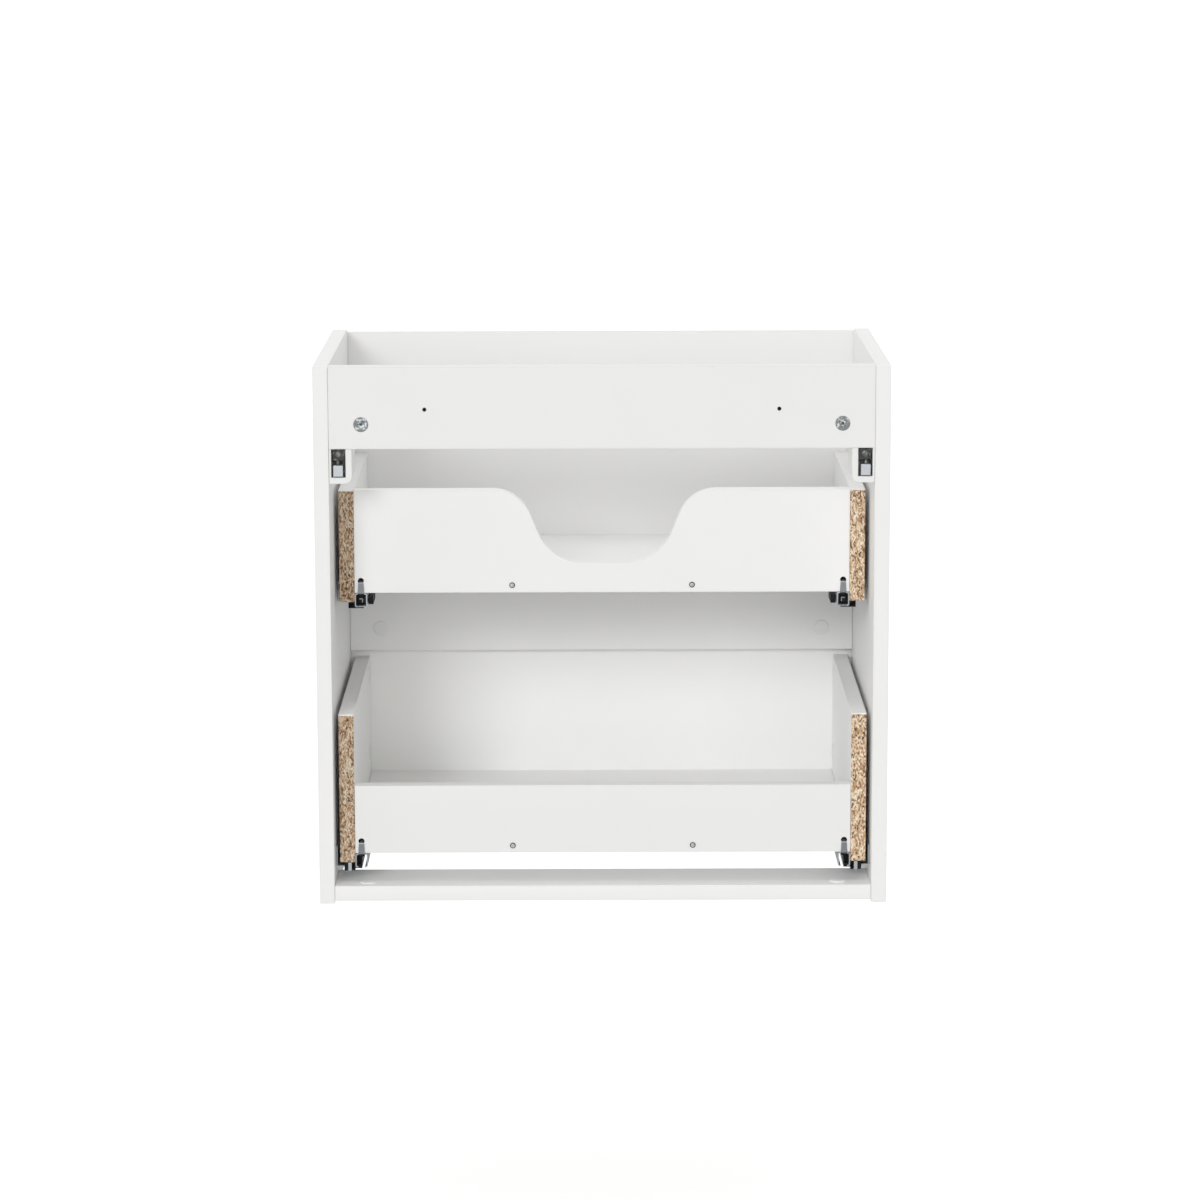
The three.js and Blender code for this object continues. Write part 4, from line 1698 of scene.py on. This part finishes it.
@dataclass
class Studio:
    """A pale floor, soft white light and the camera."""

    floor_z: float = -0.35
    floor_size: float = 60.0
    behind: float = 0.05
    backdrop: float = 1.1
    overhead: float = 0.56
    lift: float = 1.25
    lamps: tuple[Lamp, ...] = (
        Lamp("key_light", 1.04, (0.975, 0.985, 1.0), (0.37, 1.0, -0.42), 18.0),
        Lamp("fill_light", 1.00, (0.99, 0.985, 0.972), (-0.06, 1.0, -0.15), 42.0),
        Lamp("left_light", 0.75, (1.0, 0.98, 0.94), (1.0, 0.35, -0.06), 40.0),
        Lamp("right_light", 0.42, (1.0, 0.98, 0.94), (-1.0, 0.35, -0.06), 40.0),
        Lamp("top_light", 0.60, (0.98, 0.99, 1.0), (0.0, -0.05, -1.0), 40.0),
    )
    eye: Point = (-0.0132, -4.33997, 1.06987)
    yaw: float = 0.0026
    pitch: float = 0.1771
    roll: float = -0.0025
    lens: float = 121.174

    def build(self) -> None:
        """Makes the floor, the lights and the camera."""
        bpy.ops.object.select_all(action="DESELECT")
        bpy.ops.mesh.primitive_plane_add(size=self.floor_size, location=(0.0, 0.0, self.floor_z))
        floor = bpy.context.object
        floor.name = "studio_floor"
        floor.data.materials.append(StudioFloor().material("studio_floor_finish"))
        self._sky()
        for lamp in self.lamps:
            lamp.hang()
        self._camera()
        bpy.context.scene.view_settings.view_transform = "Standard"
        bpy.context.scene.view_settings.gamma = self.lift

    def _sky(self) -> None:
        """Lights the studio: a white backdrop, a bright ceiling and a dimmer room behind the camera."""
        world = bpy.data.worlds.new("studio_light")
        bpy.context.scene.world = world
        r = Recipe(world)
        way = r.node("ShaderNodeTexCoord", {}, {}, "Generated")
        ahead = r.node("ShaderNodeSeparateXYZ", {}, {0: way}, "Y").rise(-0.3, 0.6)
        up = r.node("ShaderNodeSeparateXYZ", {}, {0: way}, "Z").most(0.0)
        level = self.behind + (self.backdrop - self.behind) * ahead
        glow = level * (1.0 - up) + self.overhead * up
        soft = r.node("ShaderNodeBackground", {}, {"Color": (1.0, 1.0, 0.99, 1.0), "Strength": glow})
        plain = r.node("ShaderNodeBackground", {}, {"Color": (1.0, 1.0, 1.0, 1.0), "Strength": 1.03})
        seen = r.node("ShaderNodeLightPath", {}, {}, "Is Camera Ray")
        r.surface("ShaderNodeOutputWorld", r.node("ShaderNodeMixShader", {}, {0: seen, 1: soft, 2: plain}))

    def _camera(self) -> None:
        """Sets up the camera."""
        sy, cy, sp, cp = math.sin(self.yaw), math.cos(self.yaw), math.sin(self.pitch), math.cos(self.pitch)
        ahead, right = Vector((sy * cp, cy * cp, -sp)), Vector((cy, -sy, 0.0))
        above = right.cross(ahead)
        cr, sr = math.cos(self.roll), math.sin(self.roll)
        side, top = cr * right + sr * above, cr * above - sr * right
        view = Matrix((side, top, -ahead)).transposed().to_4x4()
        view.translation = Vector(self.eye)
        lens = bpy.data.cameras.new("camera")
        lens.lens, lens.sensor_width = self.lens, 36.0
        lens.clip_end = 200.0
        camera = bpy.data.objects.new("camera", lens)
        camera.matrix_world = view
        bpy.context.scene.collection.objects.link(camera)
        bpy.context.scene.camera = camera


# ------------------------------------------------------------------ assembly
def main() -> None:
    """Builds the cabinet piece by piece, then the studio round it."""
    logging.basicConfig(level=logging.INFO, format="%(message)s")
    shop = Shop()
    cap, screw = pressed_cap(), turned_screw()
    Carcass().build(shop, cap)
    Hangers().build(shop)
    # The drawers' boards get painted shade, or painted light where a share is negative.
    DrawerBox("upper", 71.0, 321.9, front_grey=0.09).build(shop, cap, screw)
    lower = DrawerBox(
        "lower", 21.0, 50.0, (93.0, 183.5), front_grey=-0.045, inner_painted_shade=-0.045, back_grey=0.06
    )
    lower.build(shop, cap, screw)
    for master in (cap, screw):
        bpy.data.objects.remove(master)
    Slides("upper", 71.0, 321.9, full_stop=True).build(shop)
    Slides("lower", 21.0, 50.0, full_stop=False).build(shop)
    Studio().build()
    log.info("%d pieces", shop.count)


if __name__ == "__main__":
    main()
